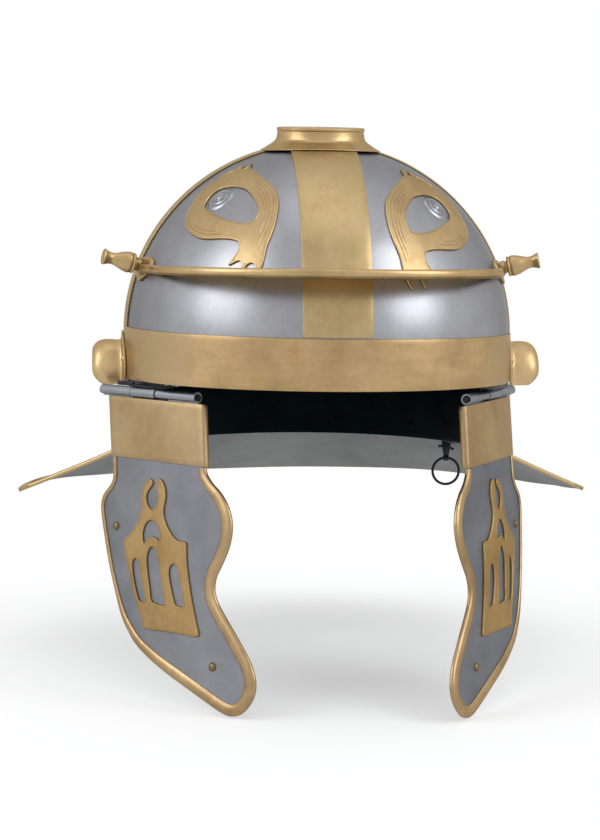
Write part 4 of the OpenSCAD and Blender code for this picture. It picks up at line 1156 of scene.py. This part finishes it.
temple_holes = [
    [(41.4, 70), (42, 66), (44, 63.2), (47.2, 62.3), (50.3, 63.5), (52.6, 66.6), (53.6, 71.4),
     (51.4, 70.6), (48.7, 70.1), (46.3, 70.8), (44.3, 72.5), (42.6, 74)],
    [(37.4, 82.4), (35.7, 84), (35.9, 87), (37.2, 91.2), (39.2, 96), (41.4, 100.4), (43.5, 102.9),
     (46.9, 102.2), (46.2, 99.2), (44.3, 94.8), (42.6, 90.2), (41.1, 85.8), (39.4, 83)],
    [(48.9, 75.2), (46.7, 76.9), (45.7, 80.4), (46.4, 85), (48.2, 91), (50.1, 97), (52, 101.9),
     (60.9, 102.6), (60.7, 100.6), (58.9, 96), (56.9, 90.2), (55.1, 84.4), (53.4, 79.8),
     (51.3, 76.6)],
    [(64, 82), (62.1, 83.9), (62, 86.8), (63, 90.4), (64.9, 95), (66.8, 99), (68.5, 101.4),
     (73.3, 101.6), (73.1, 98.8), (71.4, 94), (69.6, 89), (68.1, 84.9), (66.4, 82.7)],
]
outline, *holes = [[(x, -v) for x, v in curve(p, 2)] for p in (temple_edge, *temple_holes)]
for side in SIDES:
    bm = on_plate(plate(outline, holes), HALF_PLATE + LIFT)
    cheek_part(bm, side, "temple_{}_sheet", "brass_temple", "temple", 32)
    heads = bmesh.new()
    for x, v in ((20.2, 68), (94.4, 127.5)):
        lean = turn(-degrees(asin((x - CHEEK_MID) / CHEEK_R)), "Z")
        spot = shift(*bent(x, v, HALF_PLATE)) @ lean @ turn(-90, "X")
        join(heads, put(dome_head(4.2, 1.3), spot))
    cheek_part(heads, side, "cheek_rivet_heads_{}", "old_brass_and_shade", "cheek_rivets", 60)

# %% [markdown]
# Under each wing a clip of blackened strip goes through the guard. Its two ends are spread on top,
# and its loop holds a wire ring for the chin tie. Two small dark blocks on it slant down under the
# guard.

# %% Tie rings and clips
CLIP_TURN, CLIP_OUT = 0.167, 0.12  # share of the guard's turn from its tip, and of its slope
RING_WIDE, WIRE_R, LOOP_DROP, CLIP_HALF = 16.8, 0.75, 9, 1.4
CLIP = guard_at(CLIP_TURN, CLIP_OUT, 0, 0)
ring_mid = RING_WIDE / 2 - WIRE_R
loop_in = WIRE_R + ring_mid - sqrt(ring_mid ** 2 - 2.25) + 0.05
loop = [(loop_in, -CLIP_HALF), (loop_in + 0.8, -CLIP_HALF), (loop_in + 0.8, CLIP_HALF),
        (loop_in, CLIP_HALF), (loop_in, -CLIP_HALF)]
slope = guard_at(CLIP_TURN, 0.17, 0, 0) - CLIP
dip = degrees(atan(-slope.z / slope.xy.length))
lie = turn(degrees(atan2(slope.y, slope.x)), "Z") @ turn(dip, "Y")


def ring_place(u, v):
    reach = ring_mid + WIRE_R * cos(2 * pi * v)
    return Vector((reach * cos(2 * pi * u), WIRE_R * sin(2 * pi * v), reach * sin(2 * pi * u)))


for side, word in SIDES.items():
    place = side_sign(side) @ shift(*CLIP)
    ring = put(loft(72, 20, ring_place, caps=False), place @ shift(0, 0, -LOOP_DROP - ring_mid))
    piece(ring, f"tie_ring_{word}_wire", "black_steel_and_shade", ["tie_ring_" + word], "ring_" + word,
          shading=60)
    bm = put(turned(loop, 48), shift(0, 0, -LOOP_DROP) @ turn(90, "Y"))
    for way in (-1, 1):
        leg, end = block(2.8, 0.78, 9.4 - loop_in, 2), block(4.4, 2.8, 0.75)
        dark_block = block(4.6, 0.8, 1.5)
        join(bm, put(leg, shift(0, way * 0.41, loop_in / 2 - 4.4)))
        join(bm, put(end, lie @ shift(way * 2, 0, GUARD_HALF + 0.95) @ turn(way * 3, "Y")))
        join(bm, put(dark_block, shift(way * 2.3, -0.3, -2.6 - way * 0.5) @ turn(12 + way * 16, "Y")))
    piece(put(bm, place), f"ring_clip_{word}_strip", "black_steel_and_shade", ["ring_clip_" + word])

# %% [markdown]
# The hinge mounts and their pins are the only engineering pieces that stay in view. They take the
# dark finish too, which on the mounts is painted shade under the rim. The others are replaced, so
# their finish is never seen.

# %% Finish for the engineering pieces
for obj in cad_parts.values():
    obj.data.materials.clear()
    obj.data.materials.append(finishes["black_steel_and_shade"])
print("black_steel_and_shade on", len(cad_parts), "engineering pieces")

# %% [markdown]
# The stage is a pale floor under the cheek pieces' tips and a plain white surround. What the camera
# and the metal see of the surround has a strength of 1, which is white. For everything else it is
# weaker, and three slightly cool lamps do the rest: one broad lamp to each side, which draws the
# two soft highlights on the bowl, and one overhead. The floor glows white further out, so that it
# has no edge against the surround, and only the paper near the object takes its shadow.

# %% Stage and light
def looked_at(tree):
    """1 for what the camera or a reflection sees, else 0."""
    rays = [node(tree, "LightPath", out=name) for name in ("Is Camera Ray", "Is Glossy Ray")]
    return node(tree, "Math", rays, operation="MAXIMUM")


bpy.context.scene.view_settings.view_transform = "Standard"
world = bpy.data.worlds.new("surround")
bpy.context.scene.world = world
world.use_nodes = True
tree = world.node_tree
tree.nodes.clear()
strength = node(tree, "MapRange", (looked_at(tree), 0, 1, 0.85, 1))
surround = node(tree, "Background", {"Color": (1, 1, 1, 1), "Strength": strength})
node(tree, "OutputWorld", [surround])

GLOW_FROM, GLOW_TO = 0.16, 0.42  # metres from the middle
tree, place = new_finish("matt_white_paper")
reach = node(tree, "VectorMath", [place], "Value", operation="LENGTH")
away = node(
    tree, "MapRange", (reach, GLOW_FROM, GLOW_TO, 0.4, 1), interpolation_type="SMOOTHSTEP"
)
white = node(tree, "Math", [away, looked_at(tree)], operation="MULTIPLY")
paper = node(tree, "BsdfDiffuse", [linear("#EEEEEE")])
glow = node(tree, "Emission", {"Strength": 1.0})
node(tree, "OutputMaterial", [node(tree, "MixShader", [white, paper, glow])])

floor_z = cad_box[0][2]
bm = bmesh.new()
bmesh.ops.create_circle(bm, cap_ends=True, segments=96, radius=6)
bmesh.ops.translate(bm, verts=bm.verts, vec=(0, 0, floor_z - 0.0005))
floor = placed(bm, "floor")
floor.data.materials.append(finishes["matt_white_paper"])

LAMP_COLOUR = (0.94, 0.97, 1)


def lamp(name, at, aim, size, power):
    data = bpy.data.lights.new(name, "AREA")
    data.shape = "RECTANGLE"
    data.size, data.size_y = size
    data.energy = power
    data.color = LAMP_COLOUR
    obj = in_scene(name, data)
    way = Vector(aim) - Vector(at)
    obj.matrix_world = shift(*at) @ way.to_track_quat("-Z", "Y").to_matrix().to_4x4()


lamp("left_lamp", (-1.9, -0.62, 1.1), (0, 0, 0.05), (1.2, 1.6), 18.5)
lamp("right_lamp", (1.6, -1.02, 1.15), (0, 0, 0.05), (1.1, 1.7), 21)
lamp("top_lamp", (0, -0.1, 2.0), (0, 0, 0), (1.2, 1.2), 3)
print("floor at", round(floor_z, 4), "m")
